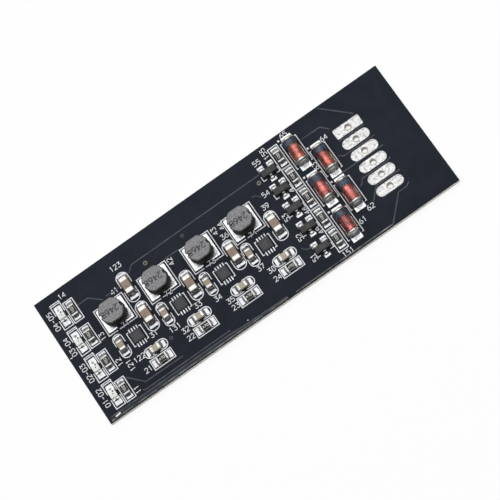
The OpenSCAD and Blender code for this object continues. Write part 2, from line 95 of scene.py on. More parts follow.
def shifted(x=0.0, y=0.0, z=0.0):
    return Matrix.Translation((x, y, z))


def spun(degrees, axis="Z"):
    return Matrix.Rotation(math.radians(degrees), 4, axis)


def seated(node, degrees=0.0):
    return Matrix.Translation(middleOf(node)) @ spun(degrees)


def addTo(piece, shape, material=None, place=None):
    # adds a finished shape to a piece
    if place is not None:
        bmesh.ops.transform(shape, matrix=place, verts=shape.verts)
    if material is not None:
        for face in shape.faces:
            face.material_index = material
    swap = bpy.data.meshes.new("swap")
    shape.to_mesh(swap)
    shape.free()
    piece.from_mesh(swap)
    bpy.data.meshes.remove(swap)


def finishPiece(name, shape, materials, replaces=(), sharpAngle=32, place=None):
    if place is not None:
        bmesh.ops.transform(shape, matrix=place, verts=shape.verts)
    bmesh.ops.scale(shape, vec=(mm, mm, mm), verts=shape.verts)
    mesh = bpy.data.meshes.new(name)
    shape.to_mesh(mesh)
    shape.free()
    for material in materials:
        mesh.materials.append(material)
    mesh.shade_smooth()
    mesh.set_sharp_from_angle(angle=math.radians(sharpAngle))
    piece = bpy.data.objects.new(name, mesh)
    bpy.context.scene.collection.objects.link(piece)
    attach(piece, "root")
    if replaces:
        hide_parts(*replaces)


def vertsIn(made):
    return [item for item in made if isinstance(item, bmesh.types.BMVert)]


def bevelled(shape, edges, radius, segments=2):
    bmesh.ops.bevel(shape, geom=edges, offset=radius, offset_type="OFFSET", segments=segments,
                    profile=0.5, affect="EDGES", material=-1)
    return shape


def block(size, radius=0.0, segments=2, low=0.0):
    # a block standing on low, with rounded edges
    shape = bmesh.new()
    bmesh.ops.create_cube(shape, size=1)
    bmesh.ops.scale(shape, vec=size, verts=shape.verts)
    bmesh.ops.translate(shape, vec=(0, 0, low + size[2] / 2), verts=shape.verts)
    return bevelled(shape, shape.edges[:], radius, segments) if radius else shape


def plate(outline, holes, low, high):
    # a flat outline, with any holes, raised to a thickness
    shape = bmesh.new()
    loops = [[shape.verts.new((x, y, low)) for x, y in loop] for loop in [outline] + holes]
    if holes:
        edges = [shape.edges.new((loop[i - 1], loop[i])) for loop in loops for i in range(len(loop))]
        bmesh.ops.triangle_fill(shape, use_beauty=True, edges=edges, normal=(0, 0, 1))
    else:
        shape.faces.new(loops[0])
    raised = bmesh.ops.extrude_face_region(shape, geom=shape.faces[:])["geom"]
    bmesh.ops.translate(shape, vec=(0, 0, high - low), verts=vertsIn(raised))
    bmesh.ops.recalc_face_normals(shape, faces=shape.faces)
    return shape


def softenRim(shape, radius, height, segments=2):
    # rounds the edges that lie at this height, where two faces meet at an angle
    edges = [edge for edge in shape.edges if edge.calc_face_angle(0) > foldAngle
             and all(abs(v.co.z - height) < levelGap for v in edge.verts)]
    return bevelled(shape, edges, radius, segments)


def turned(profile, steps=40):
    # an outline of (radius, height) points spun about Z
    shape = bmesh.new()
    verts = [shape.verts.new((radius, 0, z)) for radius, z in profile]
    edges = [shape.edges.new(pair) for pair in zip(verts, verts[1:])]
    if profile[0][0] > 0:
        edges.append(shape.edges.new((verts[-1], verts[0])))
    bmesh.ops.spin(shape, geom=verts + edges, cent=(0, 0, 0), axis=(0, 0, 1), dvec=(0, 0, 0),
                   angle=math.tau, steps=steps, use_merge=True)
    bmesh.ops.remove_doubles(shape, verts=shape.verts, dist=1e-5)
    bmesh.ops.recalc_face_normals(shape, faces=shape.faces)
    return shape


def cutAt(shape, x):
    # keeps the part of a closed shape beyond x and closes the cut
    whole = shape.verts[:] + shape.edges[:] + shape.faces[:]
    cut = bmesh.ops.bisect_plane(shape, geom=whole, plane_co=(x, 0, 0), plane_no=(-1, 0, 0),
                                 clear_outer=True)["geom_cut"]
    rim = [edge for edge in cut if isinstance(edge, bmesh.types.BMEdge)]
    bmesh.ops.edgeloop_fill(shape, edges=rim)
    return shape


def arc(centreX, centreY, radius, start, end, steps):
    turns = [math.radians(start + (end - start) * i / steps) for i in range(steps + 1)]
    return [(centreX + radius * math.cos(a), centreY + radius * math.sin(a)) for a in turns]


def circle(centreX, centreY, radius, steps=24):
    return arc(centreX, centreY, radius, 0, 360 * (steps - 1) / steps, steps - 1)


def roundedRect(width, depth, radius, steps=5):
    x, y = width / 2 - radius, depth / 2 - radius
    corners = ((x, y, 0), (-x, y, 90), (-x, -y, 180), (x, -y, 270))
    return [point for cx, cy, start in corners for point in arc(cx, cy, radius, start, start + 90, steps)]


def sidesOf(path, width, closed=False):
    # the two sides of a line of even width with mitred corners
    points = [Vector(point) for point in path]
    left, right = [], []
    for i, point in enumerate(points):
        before = points[i - 1] if i or closed else None
        after = points[(i + 1) % len(points)] if i < len(points) - 1 or closed else None
        into = (point - before).normalized() if before is not None else (after - point).normalized()
        out = (after - point).normalized() if after is not None else into
        along = (into + out).normalized()
        reach = width / 2 / max(0.4, along.dot(out))
        side = Vector((-along.y, along.x)) * reach
        left.append(tuple(point + side))
        right.append(tuple(point - side))
    return left, right


def stroke(path, width, low, high, closed=False):
    left, right = sidesOf(path, width, closed)
    if closed:
        return plate(right, [left], low, high)
    return plate(left + right[::-1], [], low, high)


# Material tools


def srgb(colour):
    lin = [c / 255 / 12.92 if c <= 10 else ((c / 255 + 0.055) / 1.055) ** 2.4 for c in colour]
    return (*lin, 1)


def setSockets(node, values):
    for name, value in values.items():
        node.inputs[name].default_value = value


def noiseAt(nodes, links, size, detail):
    # a noise pattern whose features are about size millimetres across
    place = nodes.new("ShaderNodeTexCoord")
    pattern = nodes.new("ShaderNodeTexNoise")
    setSockets(pattern, {"Scale": 1 / (size * mm), "Detail": detail, "Roughness": 0.5})
    links.new(place.outputs["Object"], pattern.inputs["Vector"])
    return pattern.outputs["Fac"]


def rampOf(nodes, links, factor, stops):
    ramp = nodes.new("ShaderNodeValToRGB")
    while len(ramp.color_ramp.elements) < len(stops):
        ramp.color_ramp.elements.new(0.5)
    for element, (position, colour) in zip(ramp.color_ramp.elements, stops):
        element.position = position
        element.color = srgb(colour)
    links.new(factor, ramp.inputs["Fac"])
    return ramp.outputs["Color"]


def spread(nodes, links, factor, low, high, start=0.3, end=0.7):
    # noise stays mostly between start and end
    span = nodes.new("ShaderNodeMapRange")
    setSockets(span, {"From Min": start, "From Max": end, "To Min": low, "To Max": high})
    links.new(factor, span.inputs["Value"])
    return span.outputs["Result"]


def surface(name, look):
    # two tones, a varied roughness and a fine bump, all from noise on the piece
    material = bpy.data.materials.new(name)
    material.use_nodes = True
    nodes, links = material.node_tree.nodes, material.node_tree.links
    shader = nodes["Principled BSDF"]
    blotch = noiseAt(nodes, links, look["blotch"], 4)
    grain = noiseAt(nodes, links, look["grain"], 2)
    stops = look.get("stops") or list(zip((0.32, 0.68), look["tones"]))
    links.new(rampOf(nodes, links, blotch, stops), shader.inputs["Base Color"])
    links.new(spread(nodes, links, grain, *look["roughness"]), shader.inputs["Roughness"])
    bump = nodes.new("ShaderNodeBump")
    setSockets(bump, {"Strength": look["bump"], "Distance": look["grain"] * mm * 0.25})
    links.new(grain, bump.inputs["Height"])
    links.new(bump.outputs["Normal"], shader.inputs["Normal"])
    setSockets(shader, {"Metallic": look.get("metallic", 0.0), "Coat Weight": look.get("coat", 0.0),
                        "Coat Roughness": 0.1, "Specular IOR Level": look.get("specular", 0.5),
                        "Transmission Weight": look.get("transmission", 0.0)})
    if "worn" in look:  # thin paint, with what is below it showing in places
        size, least, most = look["worn"]
        wear = noiseAt(nodes, links, size, 2)
        links.new(spread(nodes, links, wear, least, most), shader.inputs["Alpha"])
    return material


# Finishes that several pieces share

tinned = surface("tinnedSolder", {"tones": ((154, 155, 158), (192, 193, 195)), "blotch": 0.35, "grain": 0.5,
                                  "roughness": (0.14, 0.24), "bump": 0.8, "metallic": 0.86})
dullTin = surface("dullTin", {"tones": ((176, 177, 180), (218, 219, 221)), "blotch": 0.35, "grain": 0.2,
                              "roughness": (0.22, 0.34), "bump": 0.3, "metallic": 0.9})
platedLook = {"tones": ((172, 172, 170), (194, 194, 191)), "blotch": 0.25, "grain": 0.08,
              "roughness": (0.24, 0.4), "bump": 0.4, "metallic": 0.95}
plated = surface("platedEnds", platedLook)
dullPlated = surface("dullEnds", {**platedLook, "tones": ((154, 154, 152), (176, 176, 173))})
inkLook = {"blotch": 0.2, "grain": 0.05, "roughness": (0.5, 0.7), "bump": 0.2}
whiteInk = surface("whiteInk", {**inkLook, "tones": ((222, 224, 227), (240, 241, 243)), "blotch": 0.4,
                                "specular": 0.2})
maskLook = {"tones": ((32, 36, 45), (37, 41, 50)), "blotch": 2.5, "grain": 0.09, "roughness": (0.5, 0.65),
            "bump": 0.12, "specular": 0.06}
mask = surface("blackMask", maskLook)

# Board

boardLook = {"rimRadius": 0.06, "laminate": ((232, 229, 219), (247, 245, 238)), "fibre": 0.12, "copper": 0.05,
             "proud": 0.01, "wall": 0.2}
padHoles = {"bore": 1.0, "count": 6, "width": 1.95, "corner": 0.3, "flat": 0.001, "rim": 0.035, "ring": 0.12,
            "film": 0.004, "sink": 0.01}
viaHoles = {"bore": 0.4, "outside": 0.8}
laminate = surface("laminateEdge", {"tones": boardLook["laminate"], "blotch": boardLook["fibre"],
                                    "grain": 0.05, "roughness": (0.6, 0.85), "bump": 0.5})
padStops = [(0.33, (128, 127, 127)), (0.46, (163, 163, 163)), (0.68, (187, 187, 187))]
padSolder = surface("padSolder", {"stops": padStops, "blotch": 0.4, "grain": 0.3, "roughness": (0.2, 0.36),
                                  "bump": 0.6, "metallic": 1.0})
boreLook = {"blotch": 0.3, "grain": 0.08, "roughness": (0.4, 0.55), "bump": 0.3, "metallic": 0.8}
dullGold = surface("dullGold", {**boreLook, "tones": ((86, 84, 76), (112, 109, 100))})
# the vias' plating, painted dark as shade in the narrow holes
viaWallShade = surface("viaWallShade", {**boreLook, "tones": ((44, 42, 36), (62, 59, 52)), "blotch": 0.2,
                              "grain": 0.06})
barrel = surface("barrelPlating", {**boreLook, "tones": ((116, 113, 104), (148, 145, 136)),
                                   "roughness": (0.35, 0.5), "metallic": 1.0})
padLow, padHigh = boxMm("terminal_pads")
viaLow, viaHigh = boxMm("open_vias")
padPitch = (padHigh.y - padLow.y - padHoles["width"]) / (padHoles["count"] - 1)
padPlaces = [((padLow.x + padHigh.x) / 2, padLow.y + padHoles["width"] / 2 + i * padPitch)
             for i in range(padHoles["count"])]
viaRadius = viaHoles["outside"] / 2
viaPlaces = [(x, viaLow.y + viaRadius) for x in (viaLow.x + viaRadius, viaHigh.x - viaRadius)]
padHole = circle(0, 0, padHoles["bore"] / 2, 32)
viaHole = circle(0, 0, viaHoles["bore"] / 2, 20)


def makeBoard():
    halfX, halfY = boardHigh.x, boardHigh.y
    corners = [(-halfX, -halfY), (halfX, -halfY), (halfX, halfY), (-halfX, halfY)]
    holes = [[(x + dx, y + dy) for dx, dy in padHole] for x, y in padPlaces]
    holes += [[(x + dx, y + dy) for dx, dy in viaHole] for x, y in viaPlaces]
    shape = plate(corners, holes, boardLow.z, boardTop)

    def onRim(vert):
        return abs(abs(vert.co.x) - halfX) < levelGap or abs(abs(vert.co.y) - halfY) < levelGap

    rim = [edge for edge in shape.edges
           if edge.calc_face_angle(0) > foldAngle and all(map(onRim, edge.verts))]
    bevelled(shape, rim, boardLook["rimRadius"])
    shape.normal_update()
    for face in shape.faces:
        centre = face.calc_center_median()
        if abs(face.normal.z) < 0.3:  # the walls: bare laminate outside, plating in the holes, painted dark as shade in the vias
            outside = abs(centre.x) > halfX - boardLook["wall"] or abs(centre.y) > halfY - boardLook["wall"]
            face.material_index = 1 if outside else 2 if centre.x > padLow.x else 3
    finishPiece("circuitBoard", shape, [mask, laminate, barrel, viaWallShade], ["circuit_board"])


def copperLayers(low, high):
    # the heights of the copper on the top and on the underside
    return (boardTop, high.z), (low.z - boardLook["proud"], low.z + boardLook["copper"])


def makePads():
    piece = bmesh.new()
    length, width = padHigh.x - padLow.x, padHoles["width"]
    ring = circle(0, 0, padHoles["bore"] / 2 + padHoles["ring"], 32)
    for i, (x, y) in enumerate(padPlaces):
        if i == padHoles["count"] - 1:  # the last pad is square
            outline = roundedRect(length, width, padHoles["corner"], 5)
        else:
            outline = roundedRect(length, width, width / 2 - padHoles["flat"], 9)
        for low, high in copperLayers(padLow, padHigh):
            shape = plate(outline, [padHole], low, high)
            if high > boardTop:
                softenRim(shape, padHoles["rim"], high)
            addTo(piece, shape, 0, shifted(x, y))
        # the dull mouth of the hole
        mouth = plate(ring, [padHole], padHigh.z - padHoles["sink"], padHigh.z + padHoles["film"])
        addTo(piece, mouth, 1, shifted(x, y))
    finishPiece("terminalPads", piece, [padSolder, barrel], ["terminal_pads"])


def makeVias():
    piece = bmesh.new()
    for x, y in viaPlaces:
        for low, high in copperLayers(viaLow, viaHigh):
            addTo(piece, plate(circle(0, 0, viaRadius, 28), [viaHole], low, high), 0, shifted(x, y))
    finishPiece("openVias", piece, [dullGold], ["open_vias"])


makeBoard()
makePads()
makeVias()
print("board, pads and vias made")

# Tracks and covered vias under the mask, with a painted highlight and painted sheen along the near edge

trackLook = {"width": 0.22, "edgeHighlightWidth": 0.21, "height": 0.03, "glareHeight": 0.012, "sink": 0.01, "viaRim": 0.17}
trackMask = surface("trackMask", {**maskLook, "tones": ((66, 69, 76), (88, 91, 97)), "blotch": 1.0})
# partly tracks, partly a painted highlight on the board's near rim, with worn tan spots
edgeHighlightStops = [(0.34, (62, 65, 70)), (0.5, (102, 103, 104)), (0.7, (146, 144, 136))]
edgeTrackHighlight = surface("edgeTrackHighlight", {**maskLook, "stops": edgeHighlightStops, "blotch": 1.6})
# a lighter mask for a strip along the near edge: painted sheen
glareMask = surface("glareMask", {"tones": ((45, 49, 57), (53, 57, 65)), "blotch": 2.0, "grain": 0.1,
                                "roughness": (0.4, 0.5), "bump": 0.03, "specular": 0.06})
tracks = [
    [(6.3, 20.5), (8.4, 20.5), (10.4, 18.7)],
    [(11.1, 18.9), (14.0, 18.9)],
    [(6.4, 5.2), (8.8, 2.6), (16.4, 2.55)],
    [(7.6, 1.75), (8.0, 1.5), (25.3, 1.45)],
    [(0.8, 1.0), (24.5, 0.93), (27.5, 0.74), (33.0, 0.6), (36.4, 0.55)],
    [(57.8, 0.4), (61.6, 4.35), (63.3, 4.35), (64.0, 4.8)],
    [(16.6, 19.9), (17.7, 20.9), (44.3, 20.9)],
    [(22.9, 18.35), (25.7, 18.3)],
    [(41.0, 18.35), (41.6, 18.25), (42.3, 17.45)],
    [(42.9, 6.0), (43.5, 5.3), (44.4, 5.2)],
    [(53.5, 21.7), (57.2, 21.65), (58.4, 20.4)],
    [(58.7, 24.7), (63.2, 20.2)],
    [(56.9, 15.65), (57.7, 15.0), (64.0, 14.95)],
    [(56.9, 9.0), (57.2, 9.0), (58.0, 9.9), (63.0, 9.9), (64.0, 10.2)],
    [(57.3, 5.5), (58.8, 7.1), (59.2, 7.45), (64.0, 7.45)],
    [(58.4, 17.55), (63.6, 17.55)],
    [(56.0, 12.75), (58.8, 12.72), (64.2, 12.66)],
]
# lines along the near edge: partly tracks, partly a painted highlight on the board's rim
edgeTracksAndHighlight = [[(0.5, 0.37), (36.4, 0.34)], [(38.0, 0.36), (57.8, 0.36)]]
# painted sheen: a lighter strip of mask along the near edge
edgeGlare = [(0.4, 0.12), (34.0, 0.12), (34.0, 0.5), (27.5, 0.78), (24.5, 1.05), (0.4, 1.15)]
coveredVias = [(27.6, 19.9), (16.4, 6.3)]
viaBowl = [(0.0, 0.0), (0.09, 0.004), (0.16, 0.02), (0.24, 0.03), (0.32, 0.022), (0.36, -0.01), (0.0, -0.01)]


def makeTracks():
    piece = bmesh.new()
    low, high = boardTop - trackLook["sink"], boardTop + trackLook["height"]
    # the lines along the near edge carry a painted highlight
    for paths, width, material in ((tracks, trackLook["width"], 0), (edgeTracksAndHighlight, trackLook["edgeHighlightWidth"], 3)):
        for path in paths:
            addTo(piece, stroke([onBoard(x, y) for x, y in path], width, low, high), material)
    # the lighter strip along the near edge is painted sheen
    addTo(piece, plate([onBoard(x, y) for x, y in edgeGlare], [], low, boardTop + trackLook["glareHeight"]), 2)
    for x, y in coveredVias:
        shape = turned([(radius, boardTop + z) for radius, z in viaBowl], 20)
        for face in shape.faces:  # the rim catches the light
            onRim = math.hypot(*face.calc_center_median().xy) > trackLook["viaRim"]
            face.material_index = 0 if onRim else 1
        addTo(piece, shape, None, shifted(*onBoard(x, y)))
    finishPiece("maskTracksAndSheen", piece, [trackMask, mask, glareMask, edgeTrackHighlight])


makeTracks()
print("tracks made")

# Solder: each land is a grid drawn out along the part and raised by its fillet

solderLook = {"thick": 0.05, "under": 0.4, "rim": 0.07, "across": 10, "hollow": 1.35,
              "corner": 0.1, "lip": 0.02, "step": 0.01}
footSteps = (0.06, 0.14, 0.24, 0.36, 0.5, 0.66, 0.84, 1.0)  # shares of a fillet's foot
resistorLands = {"reach": 0.87, "length": 2.0, "width": 1.31, "foot": 0.54, "rise": 0.4, "bead": 0.55}
senseLands = {"reach": 0.92, "length": 2.0, "width": 1.46, "foot": 0.34, "rise": 0.3, "bead": 0.58}
supplyLands = {"reach": 0.92, "length": 2.0, "width": 1.31, "foot": 0.5, "rise": 0.58, "bead": 0.6}
filterLands = {"reach": 0.9, "length": 2.0, "width": 1.41, "foot": 0.34, "rise": 0.36, "bead": 0.6}
cellLands = {"reach": 0.93, "length": 3.2, "width": 1.66, "foot": 0.46, "rise": 0.52, "bead": 0.78}
lampLands = {"reach": 0.99, "length": 2.0, "width": 1.31, "foot": 0.19, "rise": 0.16, "bead": 0.42}
coilLands = {"span": 5.36, "length": 1.75, "width": 4.6, "tail": 2.025, "blob": 0.14, "spread": 0.24,
             "short": 0.13, "steps": [1.45, 1.65, 1.8, 1.95, 2.1, 2.25, 2.4], "across": 30}
chipContacts = {"count": 4, "pitch": 0.5, "width": 0.29, "reach": 0.84, "length": 2.0, "foot": 0.12,
                "rise": 0.06, "bead": 0.145, "across": 4}
transistorLands = {"length": 2.4, "pitch": 1.9, "width": 1.15, "reach": 0.58, "foot": 0.2, "rise": 0.14,
                   "bead": 0.45, "across": 8}
diodeLook = {"length": 5.0, "cap": 2.5, "capLength": 0.45, "glass": 2.36, "stud": 1.3, "film": 0.03,
             "foot": 0.2, "reach": 1.05, "climb": 1.1, "bead": 0.8, "cradle": 0.4, "landWidth": 2.0,
             "across": 16, "edge": 0.27, "dish": 0.03, "dishRim": 0.02, "dishShare": 0.55, "lip": 0.06,
             "studSink": 0.01, "studShade": 0.3, "pocket": 0.15, "pocketWall": 0.05,
             "pocketLip": (0.03, 0.02), "glassEdge": (0.05, 0.06), "band": 1.05, "bandGap": 0.12,
             "bandWave": 0.07, "bandEdge": 0.01, "bandLag": 1.7, "ink": (0.005, 0.012)}
# contacts as (side of the part, place along that side)
alongRow, acrossRow = [(0, 0), (180, 0)], [(90, 0), (270, 0)]
chipRow = [(side, (k - (chipContacts["count"] - 1) / 2) * chipContacts["pitch"])
           for side in (90, 270) for k in range(chipContacts["count"])]
transistorRow = [(side, share * transistorLands["pitch"])
                 for side, share in ((90, -0.5), (90, 0.5), (270, 0))]


def solderPatch(stations, halfWidth, heightAt, across):
    # a land along X whose top follows heightAt(x, y), and whose rim falls to the board
    shape = bmesh.new()
    columns = len(stations) - 1
    bmesh.ops.create_grid(shape, x_segments=columns, y_segments=across, size=1)
    start, end = stations[0], stations[-1]
    rim = solderLook["rim"]
    for vert in shape.verts:
        x = stations[round((vert.co.x + 1) / 2 * columns)]
        v = vert.co.y
        ends = min(x - start, end - x)
        corner = max(0.0, 1 - ends / (2 * rim))
        y = v * halfWidth * (1 - solderLook["corner"] * corner ** 2)  # the corners are a little rounded
        inset = min(ends, halfWidth - abs(v) * halfWidth)
        share = min(1.0, inset / rim)
        z = heightAt(x, y) * math.sqrt(max(0.0, 1 - (1 - share) ** 2))
        vert.co = (x, y, z)
    bmesh.ops.edgeloop_fill(shape, edges=[edge for edge in shape.edges if edge.is_boundary])
    bmesh.ops.recalc_face_normals(shape, faces=shape.faces)
    return shape


def filletStations(look, under=solderLook["under"]):
    partEnd, rim = look["length"] / 2, solderLook["rim"]
    last = partEnd + look["reach"]
    return ([partEnd - under, partEnd - under + rim / 2, partEnd - solderLook["lip"], partEnd]
            + [partEnd + look["foot"] * share for share in footSteps]
            + [last - 2 * rim, last - rim, last - rim / 3, last])


def endFillet(look, rise):
    # hollow fillet that climbs the end of a part and fades out at half its bead's width
    def heightAt(x, y):
        out = (x - look["length"] / 2) / look["foot"]
        if out < 0 or out > 1:
            return solderLook["thick"]
        fade = 1 - min(1.0, abs(y) / look["bead"]) ** 3
        return solderLook["thick"] + rise * fade * (1 - out) ** solderLook["hollow"]

    return heightAt


def contactLands(piece, node, row, look):
    stations, climb = filletStations(look), endFillet(look, look["rise"])
    for side, aside in row:
        shape = solderPatch(stations, look["width"] / 2, climb, look.get("across", solderLook["across"]))
        addTo(piece, shape, 0, seated(node, side) @ shifted(0, aside, -solderLook["thick"]))


def diodeLand(piece, node):
    # the land also cradles the round metal end
    look, thick = diodeLook, solderLook["thick"]
    partEnd, capRadius, capLength = look["length"] / 2, look["cap"] / 2, look["capLength"]
    inner = partEnd - capLength
    climb = endFillet(look, look["climb"])

    def heightAt(x, y):
        if x >= partEnd:
            return climb(x, y)
        if x < inner:
            return thick
        under = thick + look["film"] + capRadius - math.sqrt(capRadius ** 2 - y ** 2)
        side = thick + look["cradle"] * max(0.0, 1 - abs(y) / (look["landWidth"] / 2)) ** 0.5
        return min(under, side)

    stations = filletStations(look, capLength + solderLook["under"])
    stations[2:2] = [inner - solderLook["step"], inner, partEnd - capLength / 2]
    centre = middleOf(node)
    for side in (90, 270):
        shape = solderPatch(stations, look["landWidth"] / 2, heightAt, look["across"])
        addTo(piece, shape, 1, shifted(centre.x, centre.y, boardTop) @ spun(side))


def coilLand(piece, node):
    # a drop of solder holds the wire's tail on each land
    look, thick, rim = coilLands, solderLook["thick"], solderLook["rim"]
    outside = look["span"] / 2
    inner = outside - look["length"]

    def heightAt(x, y):
        away = math.hypot(x - look["tail"], y)
        return thick + look["blob"] * math.exp(-(away / look["spread"]) ** 2)

    for side, outer in ((0, outside - look["short"]), (180, outside)):
        stations = ([inner, inner + rim / 2, inner + rim] + look["steps"]
                    + [outer - rim, outer - rim / 2, outer])
        shape = solderPatch(stations, look["width"] / 2, heightAt, look["across"])
        addTo(piece, shape, 1, seated(node, side) @ shifted(z=-thick))


def makeSolder():
    piece = bmesh.new()
    rows = [(lampNodes, acrossRow, lampLands), (lampResistorNodes, acrossRow, resistorLands),
            (gateResistorNodes, acrossRow, resistorLands), (senseResistorNodes, alongRow, senseLands),
            (supplyNodes, acrossRow, supplyLands), (filterNodes, alongRow, filterLands),
            (cellNodes, acrossRow, cellLands), (chipNodes, chipRow, chipContacts),
            (transistorNodes, transistorRow, transistorLands)]
    for nodes, row, look in rows:
        for node in nodes:
            contactLands(piece, node, row, look)
    for node in diodeNodes:
        diodeLand(piece, node)
    for node in coreNodes:
        coilLand(piece, node)
    finishPiece("solderJoints", piece, [tinned, dullTin], ["solder_lands"], 50)


makeSolder()
print("solder made")

# Plain numbers drawn with an even pen, for the board and the markings on parts

digitStrokes = {
    "0": [((0.15, 0), (0.45, 0), (0.6, 0.18), (0.6, 0.82), (0.45, 1), (0.15, 1), (0, 0.82), (0, 0.18),
           "closed")],
    "1": [((0.12, 0.8), (0.32, 1), (0.32, 0))],
    "2": [((0, 0.82), (0.15, 1), (0.45, 1), (0.6, 0.85), (0.6, 0.62), (0, 0), (0.62, 0))],
    "3": [((0, 1), (0.6, 1), (0.3, 0.6), (0.45, 0.6), (0.6, 0.45), (0.6, 0.16), (0.45, 0), (0.15, 0),
           (0, 0.16))],
    "4": [((0.45, 0), (0.45, 1)), ((0.42, 0.98), (0, 0.3), (0.62, 0.3))],
    "5": [((0.58, 1), (0.06, 1), (0.02, 0.58), (0.42, 0.62), (0.6, 0.45), (0.6, 0.17), (0.42, 0), (0, 0.02))],
    "6": [((0.5, 1), (0.18, 0.78), (0.02, 0.45)),
          ((0.15, 0), (0.45, 0), (0.6, 0.15), (0.6, 0.4), (0.45, 0.55), (0.15, 0.55), (0, 0.4), (0, 0.15),
           "closed")],
    "7": [((0, 1), (0.6, 1), (0.2, 0))],
    "8": [((0.15, 0), (0.45, 0), (0.6, 0.15), (0.6, 0.38), (0.45, 0.52), (0.15, 0.52), (0, 0.38), (0, 0.15),
           "closed"),
          ((0.17, 0.53), (0.43, 0.53), (0.55, 0.65), (0.55, 0.88), (0.43, 1), (0.17, 1), (0.05, 0.88),
           (0.05, 0.65), "closed")],
    "9": [((0.1, 0), (0.42, 0.22), (0.58, 0.55)),
          ((0.15, 0.45), (0.45, 0.45), (0.6, 0.6), (0.6, 0.85), (0.45, 1), (0.15, 1), (0, 0.85), (0, 0.6),
           "closed")],
    "-": [((0.05, 0.5), (0.55, 0.5))],
}
digitWidth, digitAdvance = 0.6, 0.86  # as shares of the height


def inkLayer(look, top):
    # how far the ink goes below and above a surface
    below, above = look["ink"]
    return top - below, top + above


def writeNumber(piece, text, look, top, material, place=Matrix()):
    # the number is centred on place, and reads along its X
    low, high = inkLayer(look, top)
    height, advance = look["number"], look.get("advance", digitAdvance)
    width = (len(text) - 1) * advance + digitWidth
    for k, digit in enumerate(text):
        for path in digitStrokes[digit]:
            closed = path[-1] == "closed"
            points = path[:-1] if closed else path
            points = [((x + k * advance - width / 2) * height, (y - 0.5) * height) for x, y in points]
            addTo(piece, stroke(points, look["pen"], low, high, closed), material, place)


# White print on the board, and a painted highlight at its near left corner, with the sides of each frame
# measured from the middle of its part

printLook = {"line": 0.16, "ink": (0.005, 0.02), "number": 0.87, "pen": 0.118}
boxFrames = [(lampResistorNodes, (0.88, 2.12, 0.96, 2.02)), (gateResistorNodes, (1.0, 2.2, 0.84, 2.12)),
             (senseResistorNodes, (2.06, 1.0, 2.1, 0.84))]
pillFrames = [(filterNodes, (2.22, 0.9, 2.25, 0.88), 0.85, 0.35),  # sides, corner and gap
              (supplyNodes, (0.84, 2.35, 0.93, 2.12), 0.85, 0.35),
              (cellNodes, (1.13, 3.03, 1.04, 2.7), 1.0, 0.45)]
brackets = [(coreNodes, 2.9, 2.69, 2.46, 1.1), (chipNodes, 1.4, 1.35, 1.35, 1.08),
            (diodeNodes, 1.54, 2.65, 2.65, 1.29)]  # side, near end, far end and inner end
lampFrame = {"sides": (0.92, 2.35, 0.89, 2.62), "near": 1.85, "far": 2.88, "bar": 0.31, "inset": 0.1}
coilDash = {"half": 0.75, "near": 2.69}
transistorMark = {"side": 1.65, "near": 0.85, "far": 0.1, "foot": 0.65}
diodeDot = {"side": 1.45, "far": 3.4, "size": 0.34}
# the first mark, a white bar at the near left corner, is a painted highlight; the others are printed ticks
boardMarksAndGlint = [((1.4, 0.55), (2.4, 0.75), 0.3), ((0.3, 13.4), (0.7, 13.4), 0.16),
              ((28.6, 1.15), (28.8, 1.15), 0.16)]


def around(node, left, near, right, far):
    centre = middleOf(node)
    return centre.x - left, centre.y - near, centre.x + right, centre.y + far


def drawLine(piece, path, closed=False, width=printLook["line"]):
    addTo(piece, stroke(path, width, *inkLayer(printLook, boardTop), closed), 0)


def drawPill(piece, box, radius, gap):
    # a frame with round ends, and a gap in the middle of its long sides
    x0, y0, x1, y1 = box
    midX, midY = (x0 + x1) / 2, (y0 + y1) / 2
    outline = [(midX + x, midY + y) for x, y in roundedRect(x1 - x0, y1 - y0, radius, 6)]
    if y1 - y0 > x1 - x0:
        halves = [[p for p in outline if p[1] > midY], [p for p in outline if p[1] < midY]]
        ends = [((x1, midY + gap), (x0, midY + gap)), ((x0, midY - gap), (x1, midY - gap))]
    else:
        quarter = len(outline) // 4
        halves = [outline[quarter:-quarter], outline[-quarter:] + outline[:quarter]]
        ends = [((midX - gap, y1), (midX - gap, y0)), ((midX + gap, y0), (midX + gap, y1))]
    for half, (start, end) in zip(halves, ends):
        drawLine(piece, [start] + half + [end])


def drawLampFrame(piece, node):
    x0, y0, x1, y1 = around(node, *lampFrame["sides"])
    for end, stop in ((y0, y0 + lampFrame["near"]), (y1, y0 + lampFrame["far"])):
        drawLine(piece, [(x0, stop), (x0, end), (x1, end), (x1, stop)])
    bar, inset = y1 - lampFrame["bar"], lampFrame["inset"]  # a second line marks one end of a lamp
    drawLine(piece, [(x0 + inset, bar), (x1 - inset, bar)])


